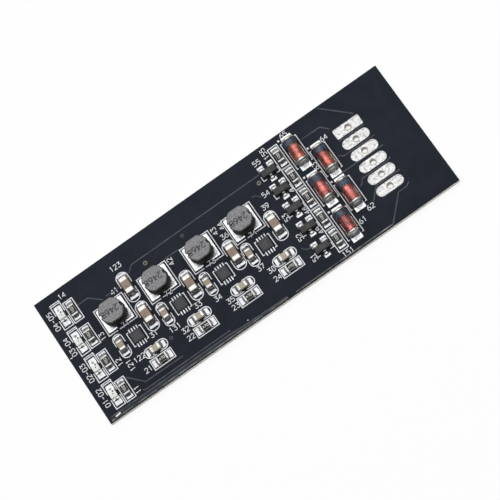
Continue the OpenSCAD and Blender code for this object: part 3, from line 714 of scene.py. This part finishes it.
def makePrint():
    piece = bmesh.new()
    for node in lampNodes:
        drawLampFrame(piece, node)
    for nodes, sides in boxFrames:
        for node in nodes:
            x0, y0, x1, y1 = around(node, *sides)
            drawLine(piece, [(x0, y0), (x1, y0), (x1, y1), (x0, y1)], True)
    for nodes, sides, radius, gap in pillFrames:
        for node in nodes:
            drawPill(piece, around(node, *sides), radius, gap)
    for nodes, reach, near, far, inner in brackets:
        for node in nodes:
            centre = middleOf(node)
            for side in (-1, 1):
                x, foot = centre.x + side * reach, centre.x + side * inner
                drawLine(piece, [(foot, centre.y + far), (x, centre.y + far), (x, centre.y - near),
                                 (foot, centre.y - near)])
    for node in coreNodes:
        x0, y, x1, _ = around(node, coilDash["half"], coilDash["near"], coilDash["half"], 0)
        drawLine(piece, [(x0, y), (x1, y)])
    for node in transistorNodes:
        centre, look = middleOf(node), transistorMark
        for side in (-1, 1):
            x, y = centre.x + side * look["side"], centre.y - look["near"]
            drawLine(piece, [(x, centre.y + look["far"]), (x, y), (x - side * look["foot"], y)])
    for node in diodeNodes:
        centre, size = middleOf(node), diodeDot["size"]
        x, y = centre.x - diodeDot["side"], centre.y + diodeDot["far"]
        drawLine(piece, [(x - size / 2, y), (x + size / 2, y)], False, size)
    # the first of these marks is a painted highlight
    for start, end, width in boardMarksAndGlint:
        drawLine(piece, [onBoard(*start), onBoard(*end)], False, width)
    finishPiece("printedFramesAndGlint", piece, [whiteInk])


boardNumbers = [  # number, place and turn
    ("01-02", 1.3, 4.5, 90), ("02-03", 1.3, 9.65, 90), ("03-04", 1.3, 15.15, 90), ("04-05", 1.3, 20.5, 90),
    ("11", 6.9, 2.3, 90), ("12", 6.9, 8.0, 90), ("13", 6.9, 13.4, 90), ("14", 4.9, 23.5, 0),
    ("121", 8.2, 6.45, 90), ("122", 10.1, 6.6, 0), ("21", 10.3, 4.05, 0), ("123", 15.2, 22.2, 0),
    ("31", 14.35, 8.6, 0), ("41", 12.8, 18.8, 0), ("131", 17.9, 7.35, 0), ("32", 19.15, 5.95, 0),
    ("22", 19.25, 4.4, 0), ("33", 23.25, 8.35, 0), ("42", 23.5, 17.35, 90), ("34", 26.7, 7.3, 0),
    ("35", 28.2, 5.7, 0), ("23", 28.35, 4.3, 0), ("43", 32.5, 17.25, 90), ("36", 33.45, 15.55, 0),
    ("44", 33.9, 17.35, 90), ("37", 35.5, 7.35, 0), ("38", 36.75, 5.95, 0), ("24", 36.85, 4.2, 0),
    ("39", 41.95, 15.65, 0), ("54", 43.25, 17.45, 0), ("55", 44.95, 22.9, 0), ("53", 43.75, 11.95, 90),
    ("52", 43.75, 7.75, 90), ("51", 43.75, 3.4, 90), ("155", 46.95, 23.4, 90), ("151", 48.95, 0.85, 0),
    ("61", 54.0, 3.95, 0), ("62", 56.4, 5.05, 0), ("63", 52.8, 16.4, 90), ("64", 56.7, 19.7, 0),
    ("65", 51.4, 24.3, 0), ("71", 11.3, 12.95, 0), ("72", 20.25, 13.1, 0), ("73", 29.15, 13.1, 0),
    ("74", 37.6, 13.05, 0), ("45", 47.2, 6.8, 90), ("46", 47.2, 11.0, 90), ("47", 47.2, 15.65, 90),
]


def makeNumbers():
    piece = bmesh.new()
    for text, x, y, turn in boardNumbers:
        writeNumber(piece, text, printLook, boardTop, 0, shifted(*onBoard(x, y)) @ spun(turn))
    finishPiece("printedNumbers", piece, [whiteInk])


makePrint()
makeNumbers()
print("white print made")

# Chip resistors

resistorLook = {"end": 0.35, "skin": 0.03, "edge": 0.02, "endRadius": 0.05, "glaze": 0.035, "sink": 0.01,
                "overlap": 0.02, "margin": 0.03, "corner": 0.06, "ink": (0.002, 0.004), "number": 0.43,
                "pen": 0.085}
alumina = surface("alumina", {"tones": ((196, 194, 188), (222, 220, 214)), "blotch": 0.2, "grain": 0.04,
                              "roughness": (0.5, 0.7), "bump": 0.25})
glaze = surface("blackGlaze", {"tones": ((15, 15, 15), (23, 22, 22)), "blotch": 0.3, "grain": 0.07,
                               "roughness": (0.28, 0.45), "bump": 0.2, "specular": 0.22})
greyInk = surface("greyInk", {**inkLook, "tones": ((188, 188, 186), (216, 216, 214)), "blotch": 0.15,
                              "grain": 0.04})


def makeResistor(node, turn, number):
    look = resistorLook
    piece = bmesh.new()
    length, width, height = sizeOf(node)
    end, skin = look["end"], look["skin"]
    insideX, insideY, top = length - 2 * skin, width - 2 * skin, height - skin
    addTo(piece, block((insideX, insideY, top - skin), look["edge"], 1, skin), 0)
    glazeTop = top + look["glaze"]
    spanX, spanY = length - 2 * (end - look["overlap"]), insideY - 2 * look["margin"]
    cover = plate(roundedRect(spanX, spanY, look["corner"], 3), [], top - look["sink"], glazeTop)
    addTo(piece, softenRim(cover, look["edge"], glazeTop, 1), 1)
    for side in (-1, 1):
        addTo(piece, block((end, width, height), look["endRadius"], 3), 2, shifted(side * (length - end) / 2))
    writeNumber(piece, number, look, glazeTop, 3)
    finishPiece("chip_" + node, piece, [alumina, glaze, dullPlated, greyInk], [node],
                place=seated(node, turn))


for node in lampResistorNodes:
    makeResistor(node, 90, "102")
for node in gateResistorNodes:
    makeResistor(node, 90, "100")
for node in senseResistorNodes:
    makeResistor(node, 0, "470")
print("resistors made")

# Chip capacitors

capacitorLook = {"radius": 0.12, "endRadius": 0.24, "skin": 0.03, "smallEnd": 0.5, "cellEnd": 0.84}
ceramicLook = {"blotch": 0.35, "grain": 0.05, "roughness": (0.42, 0.6), "bump": 0.25}
tanCeramic = surface("tanCeramic", {**ceramicLook, "tones": ((158, 150, 132), (180, 172, 156))})
greyCeramic = surface("greyCeramic", {**ceramicLook, "tones": ((139, 128, 110), (162, 151, 132))})
brownCeramic = surface("brownCeramic", {**ceramicLook, "tones": ((127, 108, 93), (151, 131, 115)),
                                        "blotch": 0.5})


def makeCapacitor(node, turn, end, ceramic):
    piece = bmesh.new()
    length, width, height = sizeOf(node)
    skin = capacitorLook["skin"]
    inside = (length - 2 * skin, width - 2 * skin, height - 2 * skin)
    addTo(piece, block(inside, capacitorLook["radius"], 3, skin), 0)
    for side in (0, 180):
        cap = cutAt(block((length, width, height), capacitorLook["endRadius"], 4), length / 2 - end)
        addTo(piece, cap, 1, spun(side))
    finishPiece("chip_" + node, piece, [ceramic, plated], [node], place=seated(node, turn))


for node in supplyNodes:
    makeCapacitor(node, 90, capacitorLook["smallEnd"], greyCeramic)
for node in filterNodes:
    makeCapacitor(node, 0, capacitorLook["smallEnd"], tanCeramic)
for node in cellNodes:
    makeCapacitor(node, 90, capacitorLook["cellEnd"], brownCeramic)
print("capacitors made")

# Indicator lamps

lampLook = {"base": 0.35, "lens": 1.4, "draft": 8, "edge": 0.03, "notch": 0.4, "plating": 0.34, "film": 0.01,
            "platingLow": -0.002, "platingHigh": 0.012, "die": 0.26, "dieHeight": 0.12, "dieEdge": 0.01,
            "dieLift": 0.005, "marks": [(0.44, -0.25, 0.34), (0.0, -0.05, 0.25)], "markDepth": 0.7,
            "markCorner": 0.25, "ink": (0.01, 0.003)}
carrierWhite = surface("carrierWhite", {"tones": ((232, 231, 224), (246, 245, 240)), "blotch": 0.3,
                                        "grain": 0.05, "roughness": (0.4, 0.6), "bump": 0.15})
lensResin = surface("lensResin", {"tones": ((220, 225, 220), (242, 244, 241)), "blotch": 0.3, "grain": 0.1,
                                  "roughness": (0.1, 0.2), "bump": 0.05, "transmission": 0.08})
lampPlating = surface("lampPlating", {"tones": ((208, 208, 204), (228, 228, 224)), "blotch": 0.3,
                                      "grain": 0.08, "roughness": (0.3, 0.45), "bump": 0.2, "metallic": 0.5})
dieShade = surface("dieShade", {"tones": ((34, 42, 36), (66, 74, 66)), "blotch": 0.1, "grain": 0.05,
                                "roughness": (0.2, 0.4), "bump": 0.1})
diePale = surface("diePale", {"tones": ((190, 186, 120), (214, 210, 150)), "blotch": 0.1, "grain": 0.04,
                              "roughness": (0.3, 0.5), "bump": 0.1})


def notchedOutline(length, width, notch):
    # a rectangle with a half-round notch in each end
    half, side = length / 2, width / 2
    right = arc(half, 0, notch / 2, 270, 90, 8)
    left = arc(-half, 0, notch / 2, 90, -90, 8)
    return [(half, -side)] + right + [(half, side), (-half, side)] + left + [(-half, -side)]


def makeLamp(node):
    look = lampLook
    piece = bmesh.new()
    length, width, height = sizeOf(node)
    base, film, die = look["base"], look["film"], look["die"]
    addTo(piece, plate(notchedOutline(length, width, look["notch"]), [], 0.0, base), 0)
    outline = notchedOutline(length + 2 * film, width + 2 * film, look["notch"] - 2 * film)
    for side in (0, 180):  # plated ends of the carrier
        end = plate(outline, [], look["platingLow"], base + look["platingHigh"])
        addTo(piece, cutAt(end, length / 2 - look["plating"]), 2, spun(side))
    lens = block((look["lens"], width, height - base), low=base)
    lean = 1 - 2 * (height - base) * math.tan(math.radians(look["draft"])) / look["lens"]
    bmesh.ops.scale(lens, vec=(lean, 1, 1), verts=[v for v in lens.verts if v.co.z > (base + height) / 2])
    addTo(piece, bevelled(lens, lens.edges[:], look["edge"]), 1)
    addTo(piece, block((die, die, look["dieHeight"]), look["dieEdge"], 1, base + look["dieLift"]), 3)
    for along, aside, wide in look["marks"]:  # the wire's bond and the die, which show through the resin
        outline = roundedRect(wide, wide * look["markDepth"], wide * look["markCorner"], 3)
        addTo(piece, plate(outline, [], *inkLayer(look, height)), 4, shifted(along, aside))
    finishPiece("lamp_" + node, piece, [carrierWhite, lensResin, lampPlating, diePale, dieShade],
                [node], place=seated(node, 90))


for node in lampNodes:
    makeLamp(node)
print("lamps made")

# Inductors

coreLook = {"diameter": 4.5, "flat": 4.05, "flange": 0.7, "chamfer": 0.3, "inset": 0.02, "post": 2.2,
            "notch": 0.7, "notchDepth": 0.45, "sink": 0.02, "topTilt": 0.95, "rimTilt": 0.3,
            "ink": (0.004, 0.004), "number": 0.98, "pen": 0.2, "advance": 0.88, "numberAt": (0.25, 0.1)}
windingLook = {"wire": 0.3, "outside": 3.6, "turns": 6, "gap": 0.01, "bend": 0.12, "foot": 0.02}
ferriteLook = {"grain": 0.07, "roughness": (0.45, 0.7), "bump": 0.45}
ferriteStops = [(0.25, (90, 90, 93)), (0.5, (126, 126, 129)), (0.75, (156, 156, 159))]
ferrite = surface("ferrite", {**ferriteLook, "stops": ferriteStops, "blotch": 0.28})
# the core's sides, post and lower flange: painted shade
shadedFerrite = surface("shadedFerrite", {**ferriteLook, "tones": ((44, 44, 43), (66, 66, 64)), "blotch": 0.3,
                                      "roughness": (0.5, 0.75), "specular": 0.2})
# the top flange's rounded rim: painted shade
rimShadeFerrite = surface("rimShadeFerrite", {**ferriteLook, "tones": ((74, 74, 75), (112, 112, 113)), "blotch": 0.25})
darkInk = surface("darkInk", {**inkLook, "tones": ((50, 50, 52), (70, 70, 72))})
enamel = surface("copperEnamel", {"tones": ((44, 26, 18), (70, 38, 24)), "blotch": 0.3, "grain": 0.1,
                                  "roughness": (0.18, 0.3), "bump": 0.1, "metallic": 0.7, "coat": 0.6})


def flangeOutline():
    # a disc with a flat on two sides and a wire notch in the other two
    radius, flat, notch = coreLook["diameter"] / 2, coreLook["flat"] / 2, coreLook["notch"] / 2
    flatTurn = math.degrees(math.asin(flat / radius))
    notchTurn = math.degrees(math.asin(notch / radius))
    deep = radius - coreLook["notchDepth"]
    half = ([(deep, notch)] + arc(0, 0, radius, notchTurn, flatTurn, 8)
            + arc(0, 0, radius, 180 - flatTurn, 180 - notchTurn, 8) + [(-deep, notch)])
    return half + [(-x, -y) for x, y in half]


def makeCore(node):
    look = coreLook
    piece = bmesh.new()
    height, flange = sizeOf(node)[2], look["flange"]
    for bottom, top in ((0.0, flange), (height - flange, height)):
        shape = plate(flangeOutline(), [], bottom, top)
        rim = top if bottom else bottom
        edges = [edge for edge in shape.edges if all(abs(v.co.z - rim) < levelGap for v in edge.verts)
                 and abs(edge.verts[0].co.y + edge.verts[1].co.y) > look["notch"] + levelGap]
        bevelled(shape, edges, look["chamfer"], 4)
        shape.normal_update()
        flats = [face for face in shape.faces if abs(face.normal.z) > 0.999]
        bmesh.ops.inset_individual(shape, faces=flats, thickness=look["inset"])  # keeps them evenly shaded
        shape.normal_update()
        for face in shape.faces:  # the sides and the lower flange get a darker ferrite as painted shade, and the top's rounded rim a less dark one
            up = face.normal.z if bottom else 0.0
            face.material_index = 0 if up > look["topTilt"] else 3 if up > look["rimTilt"] else 2
        addTo(piece, shape)
    radius, low, high = look["post"] / 2, flange - look["sink"], height - flange + look["sink"]
    addTo(piece, turned([(0.0, low), (radius, low), (radius, high), (0.0, high)], 32), 2)
    writeNumber(piece, "2468", look, height, 1, spun(180) @ shifted(*look["numberAt"]))
    finishPiece("ferrite_" + node, piece, [ferrite, darkInk, shadedFerrite, rimShadeFerrite], [node],
                place=seated(node))


def makeWinding(node):
    # the outer layer's turns, and a tail that goes down each notch
    piece = bmesh.new()
    coreNode = node.replace("winding", "core")
    flange, radius, gap = coreLook["flange"], windingLook["wire"] / 2, windingLook["gap"]
    room = sizeOf(coreNode)[2] - 2 * flange
    pitch = room / windingLook["turns"]
    layer, inside = windingLook["outside"] / 2 - radius, coreLook["post"] / 2 + gap
    profile = [(inside, flange + gap)]
    for k in range(windingLook["turns"]):
        profile += arc(layer, flange + (k + 0.5) * pitch, radius, -75, 75, 5)
    profile.append((inside, flange + room - gap))
    addTo(piece, turned(profile, 44), 0)
    tail, level = coilLands["tail"], flange + radius
    bends = [(layer, level), (tail - windingLook["bend"], level), (tail, flange), (tail, windingLook["foot"])]
    path = [Vector((x, 0, z)) for x, z in bends]
    for side in (0, 180):
        lead = bmesh.new()
        bmesh.ops.create_circle(lead, cap_ends=True, radius=radius, segments=10,
                                matrix=Matrix.Translation(path[0]) @ spun(90, "Y"))
        tip = lead.faces[:]
        heading = Vector((1, 0, 0))
        for spot, target in zip(path, path[1:]):
            made = bmesh.ops.extrude_face_region(lead, geom=tip)["geom"]
            tip = [face for face in made if isinstance(face, bmesh.types.BMFace)]
            ring = vertsIn(made)
            bmesh.ops.translate(lead, vec=target - spot, verts=ring)
            out = (target - spot).normalized()
            swing = heading.rotation_difference(out).to_matrix()
            bmesh.ops.rotate(lead, cent=target, matrix=swing, verts=ring)
            heading = out
        bmesh.ops.recalc_face_normals(lead, faces=lead.faces)
        addTo(piece, lead, 0, spun(side))
    finishPiece("copper_" + node, piece, [enamel], [node], 50, seated(coreNode))


for node in coreNodes:
    makeCore(node)
for node in namesOf("inductor_winding"):
    makeWinding(node)
print("inductors made")

# Balancer chips

chipLook = {"dimple": 0.3, "dimpleDepth": 0.04, "contact": 0.02, "contactHeight": 0.2, "contactEdge": 0.006,
            "lines": [("120", 0.32), ("345", -0.3)], "aside": -0.1, "ink": (0.002, 0.002), "number": 0.42,
            "pen": 0.06}
mouldingLook = {"blotch": 0.4, "grain": 0.05, "roughness": (0.5, 0.68), "bump": 0.4}
greyMoulding = surface("greyMoulding", {**mouldingLook, "tones": ((38, 38, 42), (51, 51, 56))})
faintInk = surface("faintInk", {**inkLook, "tones": ((74, 74, 77), (88, 88, 90)), "grain": 0.04,
                                "roughness": (0.6, 0.75)})


def makeChip(node):
    look = chipLook
    piece = bmesh.new()
    low, high = boxMm(node)
    half, height = (high.x - low.x) / 2, high.z - low.z
    step, corner = height - look["dimpleDepth"], half - look["dimple"]
    square = [(-half, -half), (half, -half), (half, half), (-half, half)]
    addTo(piece, plate(square, [], 0.0, step), 0)
    addTo(piece, plate(square, [circle(corner, -corner, look["dimple"] / 2, 20)], step, height), 0)
    for side, aside in chipRow:  # ends of the contacts in the moulding's sides
        size = (look["contact"], chipContacts["width"], look["contactHeight"])
        addTo(piece, block(size, look["contactEdge"], 1), 1, spun(side) @ shifted(half, aside))
    for text, y in look["lines"]:
        writeNumber(piece, text, look, height, 2, shifted(look["aside"], y))
    finishPiece("moulded_" + node, piece, [greyMoulding, plated, faintInk], [node],
                place=seated(node))


for node in chipNodes:
    makeChip(node)
print("balancer chips made")

# Transistors

transistorLook = {"length": 2.9, "width": 1.3, "height": 1.0, "standoff": 0.06, "draft": 9, "edge": 0.04,
                  "lead": 0.42, "leadThick": 0.12, "leadRoot": 0.1, "foot": 0.28, "bend": 0.07,
                  "ink": (0.002, 0.003), "number": 0.45, "pen": 0.07}
blackMoulding = surface("blackMoulding", {**mouldingLook, "tones": ((26, 26, 28), (35, 35, 37)),
                                          "roughness": (0.45, 0.62)})


def roundedPath(path, radius, steps=4):
    # a line whose corners are turned into short curves
    smooth = [Vector(path[0])]
    for before, point, after in zip(path, path[1:], path[2:]):
        here = Vector(point)
        start = here + (Vector(before) - here).normalized() * radius
        end = here + (Vector(after) - here).normalized() * radius
        for i in range(steps + 1):
            t = i / steps
            smooth.append(start * (1 - t) ** 2 + here * 2 * t * (1 - t) + end * t ** 2)
    smooth.append(Vector(path[-1]))
    return [tuple(p) for p in smooth]


def makeTransistor(node):
    look = transistorLook
    piece = bmesh.new()
    length, width, height, thick = look["length"], look["width"], look["height"], look["leadThick"]
    parting = (height + look["standoff"]) / 2
    body = bmesh.new()
    bmesh.ops.create_grid(body, x_segments=1, y_segments=1, size=0.5)
    bmesh.ops.scale(body, vec=(length, width, 1), verts=body.verts)
    bmesh.ops.translate(body, vec=(0, 0, parting), verts=body.verts)
    first = body.faces[:]
    for rise in (height - parting, look["standoff"] - parting):
        lean = 2 * abs(rise) * math.tan(math.radians(look["draft"]))
        ring = vertsIn(bmesh.ops.extrude_face_region(body, geom=first)["geom"])
        bmesh.ops.translate(body, vec=(0, 0, rise), verts=ring)
        bmesh.ops.scale(body, vec=(1 - lean / length, 1 - lean / width, 1), verts=ring)
        first = [face for face in body.faces if all(abs(v.co.z - parting) < levelGap for v in face.verts)]
    bmesh.ops.recalc_face_normals(body, faces=body.faces)
    addTo(piece, bevelled(body, body.edges[:], look["edge"]), 0)
    toe = transistorLands["length"] / 2
    ankle = toe - look["foot"] - thick / 2
    knee = (width / 2 + ankle) / 2
    path = roundedPath([(width / 2 - look["leadRoot"], parting), (knee, parting), (ankle, thick / 2),
                        (toe, thick / 2)], look["bend"])
    for side, aside in transistorRow:
        lead = stroke(path, thick, -look["lead"] / 2, look["lead"] / 2)
        addTo(piece, lead, 1, spun(side) @ shifted(0, aside) @ spun(90, "X"))
    writeNumber(piece, "12", look, height, 2)
    finishPiece("moulded_" + node, piece, [blackMoulding, plated, faintInk], [node],
                place=seated(node))


for node in transistorNodes:
    makeTransistor(node)
print("transistors made")

# Diodes

redGlass = surface("redGlass", {"tones": ((250, 216, 204), (255, 228, 218)), "blotch": 0.8, "grain": 0.3,
                                "roughness": (0.02, 0.05), "bump": 0.02, "transmission": 1.0})
studLook = {"blotch": 1.3, "grain": 0.5, "roughness": (0.3, 0.38), "bump": 0.05, "metallic": 0.7}
redStops = [(0.32, (132, 52, 50)), (0.5, (220, 114, 94)), (0.68, (255, 196, 172))]
roseStops = [(0.32, (124, 48, 56)), (0.5, (212, 106, 106)), (0.68, (252, 188, 184))]
redStud = surface("redStud", {**studLook, "stops": redStops})
roseStud = surface("roseStud", {**studLook, "stops": roseStops})
# the studs next to the caps: painted shade
shadedStud = surface("shadedStud", {"tones": ((96, 34, 34), (134, 52, 50)), "blotch": 0.4, "grain": 0.2,
                                "roughness": (0.4, 0.55), "bump": 0.15, "metallic": 0.5})
bandPaint = surface("bandPaint", {"tones": ((44, 54, 72), (66, 78, 98)), "blotch": 0.3, "grain": 0.08,
                                  "roughness": (0.3, 0.45), "bump": 0.2, "worn": (0.8, 0.1, 1.5)})
endMetal = surface("endMetal", {"tones": ((170, 169, 164), (198, 197, 192)), "blotch": 0.5, "grain": 0.15,
                                "roughness": (0.24, 0.36), "bump": 0.12, "metallic": 0.95})
silicon = surface("silicon", {"tones": ((72, 74, 82), (92, 94, 102)), "blotch": 0.2, "grain": 0.05,
                              "roughness": (0.15, 0.3), "bump": 0.05, "metallic": 0.4})
roseNodes = [diodeNodes[i] for i in (0, 1, 3)]  # these diodes are a cooler red


def lying(node):
    # the diode's axis, which runs across the board
    low, high = boxMm(node)
    return Matrix.Translation((low + high) / 2) @ spun(-90, "X")


def makeGlass(node):
    look = diodeLook
    piece = bmesh.new()
    half = look["length"] / 2 - look["capLength"]
    outer, inner = look["glass"] / 2, look["stud"] / 2
    across, along = look["glassEdge"]
    sleeve = [(inner, -half), (outer - across, -half), (outer, -half + along)]
    addTo(piece, turned(sleeve + [(radius, -z) for radius, z in sleeve[::-1]], 48), 0)
    end = half - look["bandGap"]
    start = end - look["band"]
    sunk, proud = inkLayer(look, outer)
    edge, lag = look["bandEdge"], look["bandLag"] * diodeNodes.index(node)
    band = turned([(sunk, start), (proud, start + edge), (proud, end - edge), (sunk, end)], 48)
    for vert in band.verts:
        if vert.co.z < (start + end) / 2:  # the painted edge isn't quite even
            turn = math.atan2(vert.co.y, vert.co.x)
            vert.co.z += look["bandWave"] * (math.sin(2 * turn + lag) + 0.6 * math.sin(5 * turn + 2 * lag))
    addTo(piece, band, 1)
    finishPiece("sleeve_" + node, piece, [redGlass, bandPaint], [node], place=lying(node))


def makeDiodeEnds():
    piece = bmesh.new()
    look = diodeLook
    tip, radius, edge = look["length"] / 2, look["cap"] / 2, look["edge"]
    root = tip - look["capLength"]
    shade = root - look["studShade"]  # the stud is darker beyond this, painted shade towards the cap
    corner = arc(radius - edge, tip - edge, edge, 90, 0, 5)
    cap = ([(0.0, tip - look["dish"]), (radius * look["dishShare"], tip - look["dishRim"]),
            (radius - edge - look["lip"], tip)] + corner + [(radius, root), (0.0, root)])
    wide = look["stud"] / 2 + look["studSink"]  # sunk into the glass, so no gap shows between them
    inner, deep = wide - look["pocketWall"], look["pocket"]  # the rim of the stud reaches round the die
    outerLip, innerLip = look["pocketLip"]
    stud = [(0.0, root), (wide, root), (wide, shade), (wide, outerLip), (inner, innerLip), (inner, deep),
            (0.0, deep)]
    for node in diodeNodes:
        red = 3 if node in roseNodes else 1
        for side in (0, 180):
            place = lying(node) @ spun(side, "X")
            addTo(piece, turned(cap, 48), 0, place)
            shape = turned(stud, 32)
            for face in shape.faces:
                face.material_index = 2 if face.calc_center_median().z > shade else red
            addTo(piece, shape, None, place)
    finishPiece("diodeEnds", piece, [endMetal, redStud, shadedStud, roseStud], ["diode_ends"])


for node in diodeNodes:
    makeGlass(node)
makeDiodeEnds()
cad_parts["diode_dies"].data.materials.clear()
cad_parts["diode_dies"].data.materials.append(silicon)
print("diodes made")

# Floor, light and camera

studio = {"floor": 3.0, "drop": 0.02, "floorTone": (250, 250, 250), "floorRoughness": 0.9, "glow": 0.85,
          "softbox": (1.0, 0.7), "softboxAt": (0.0, 0.12, 0.6), "power": 4.0, "fill": (0.02, 0.55),
          "skyAxis": (0.15, 0.99, 0.0), "skySpan": (-0.5, 0.3)}
pureWhite = (1, 1, 1, 1)


def largerOf(nodes, links, first, second):
    step = nodes.new("ShaderNodeMath")
    step.operation = "MAXIMUM"
    links.new(first, step.inputs[0])
    links.new(second, step.inputs[1])
    return step.outputs["Value"]


def makeFloor():
    shape = bmesh.new()
    bmesh.ops.create_grid(shape, x_segments=1, y_segments=1, size=studio["floor"] / 2)
    mesh = bpy.data.meshes.new("floor")
    shape.to_mesh(mesh)
    shape.free()
    floor = bpy.data.objects.new("floor", mesh)
    floor.location.z = -studio["drop"] * mm
    bpy.context.scene.collection.objects.link(floor)
    material = bpy.data.materials.new("paleFloor")
    material.use_nodes = True
    nodes, links = material.node_tree.nodes, material.node_tree.links
    shader = nodes["Principled BSDF"]
    setSockets(shader, {"Base Color": srgb(studio["floorTone"]), "Roughness": studio["floorRoughness"],
                        "Specular IOR Level": 0.0})
    glow = nodes.new("ShaderNodeEmission")
    glow.inputs["Color"].default_value = pureWhite
    path = nodes.new("ShaderNodeLightPath").outputs
    through = largerOf(nodes, links, path["Is Glossy Ray"], path["Is Transmission Ray"])
    share = nodes.new("ShaderNodeMath")  # the glow shows only where the floor is seen or mirrored
    share.operation = "MULTIPLY"
    share.inputs[1].default_value = studio["glow"]
    links.new(largerOf(nodes, links, path["Is Camera Ray"], through), share.inputs[0])
    mix = nodes.new("ShaderNodeMixShader")
    links.new(share.outputs["Value"], mix.inputs["Fac"])
    links.new(shader.outputs["BSDF"], mix.inputs[1])
    links.new(glow.outputs["Emission"], mix.inputs[2])
    links.new(mix.outputs["Shader"], nodes["Material Output"].inputs["Surface"])
    mesh.materials.append(material)


def makeLight():
    light = bpy.data.lights.new("softbox", "AREA")
    light.shape = "RECTANGLE"
    light.size, light.size_y = studio["softbox"]
    light.energy = studio["power"]
    lamp = bpy.data.objects.new("softbox", light)
    lamp.location = studio["softboxAt"]
    bpy.context.scene.collection.objects.link(lamp)
    world = bpy.data.worlds.new("studio")
    bpy.context.scene.world = world
    world.use_nodes = True
    nodes, links = world.node_tree.nodes, world.node_tree.links
    sky = nodes["Background"]
    sky.inputs["Color"].default_value = pureWhite
    place = nodes.new("ShaderNodeTexCoord")
    across = nodes.new("ShaderNodeVectorMath")
    across.operation = "DOT_PRODUCT"
    across.inputs[1].default_value = studio["skyAxis"]
    links.new(place.outputs["Generated"], across.inputs[0])
    # the near side of the room is dark, as the metal ends show
    shade = spread(nodes, links, across.outputs["Value"], *studio["fill"], *studio["skySpan"])
    path = nodes.new("ShaderNodeLightPath")
    level = nodes.new("ShaderNodeMix")
    setSockets(level, {"B": 1.0})
    links.new(path.outputs["Is Camera Ray"], level.inputs["Factor"])
    links.new(shade, level.inputs["A"])
    links.new(level.outputs["Result"], sky.inputs["Strength"])


cameraSet = {"lens": 158.4, "sensor": 36, "clip": 0.01, "aim": (0.17, -1.55, 1.2), "distance": 370.0,
             "azimuth": -86.36, "elevation": 73.27, "roll": 38.57}


def makeCamera():
    camera = bpy.data.objects.new("camera", bpy.data.cameras.new("camera"))
    camera.data.sensor_width = cameraSet["sensor"]
    camera.data.lens = cameraSet["lens"]
    camera.data.clip_start = cameraSet["clip"]
    turn, rise = math.radians(cameraSet["azimuth"]), math.radians(cameraSet["elevation"])
    outward = Vector((math.cos(rise) * math.cos(turn), math.cos(rise) * math.sin(turn), math.sin(rise)))
    camera.location = (Vector(cameraSet["aim"]) + outward * cameraSet["distance"]) * mm
    level = outward.to_track_quat("Z", "Y")
    roll = Matrix.Rotation(-math.radians(cameraSet["roll"]), 3, outward).to_quaternion()
    camera.rotation_euler = (roll @ level).to_euler()
    bpy.context.scene.collection.objects.link(camera)
    bpy.context.scene.camera = camera


makeFloor()
makeLight()
makeCamera()
bpy.context.scene.view_settings.view_transform = "Standard"
print("stage, light and camera made")
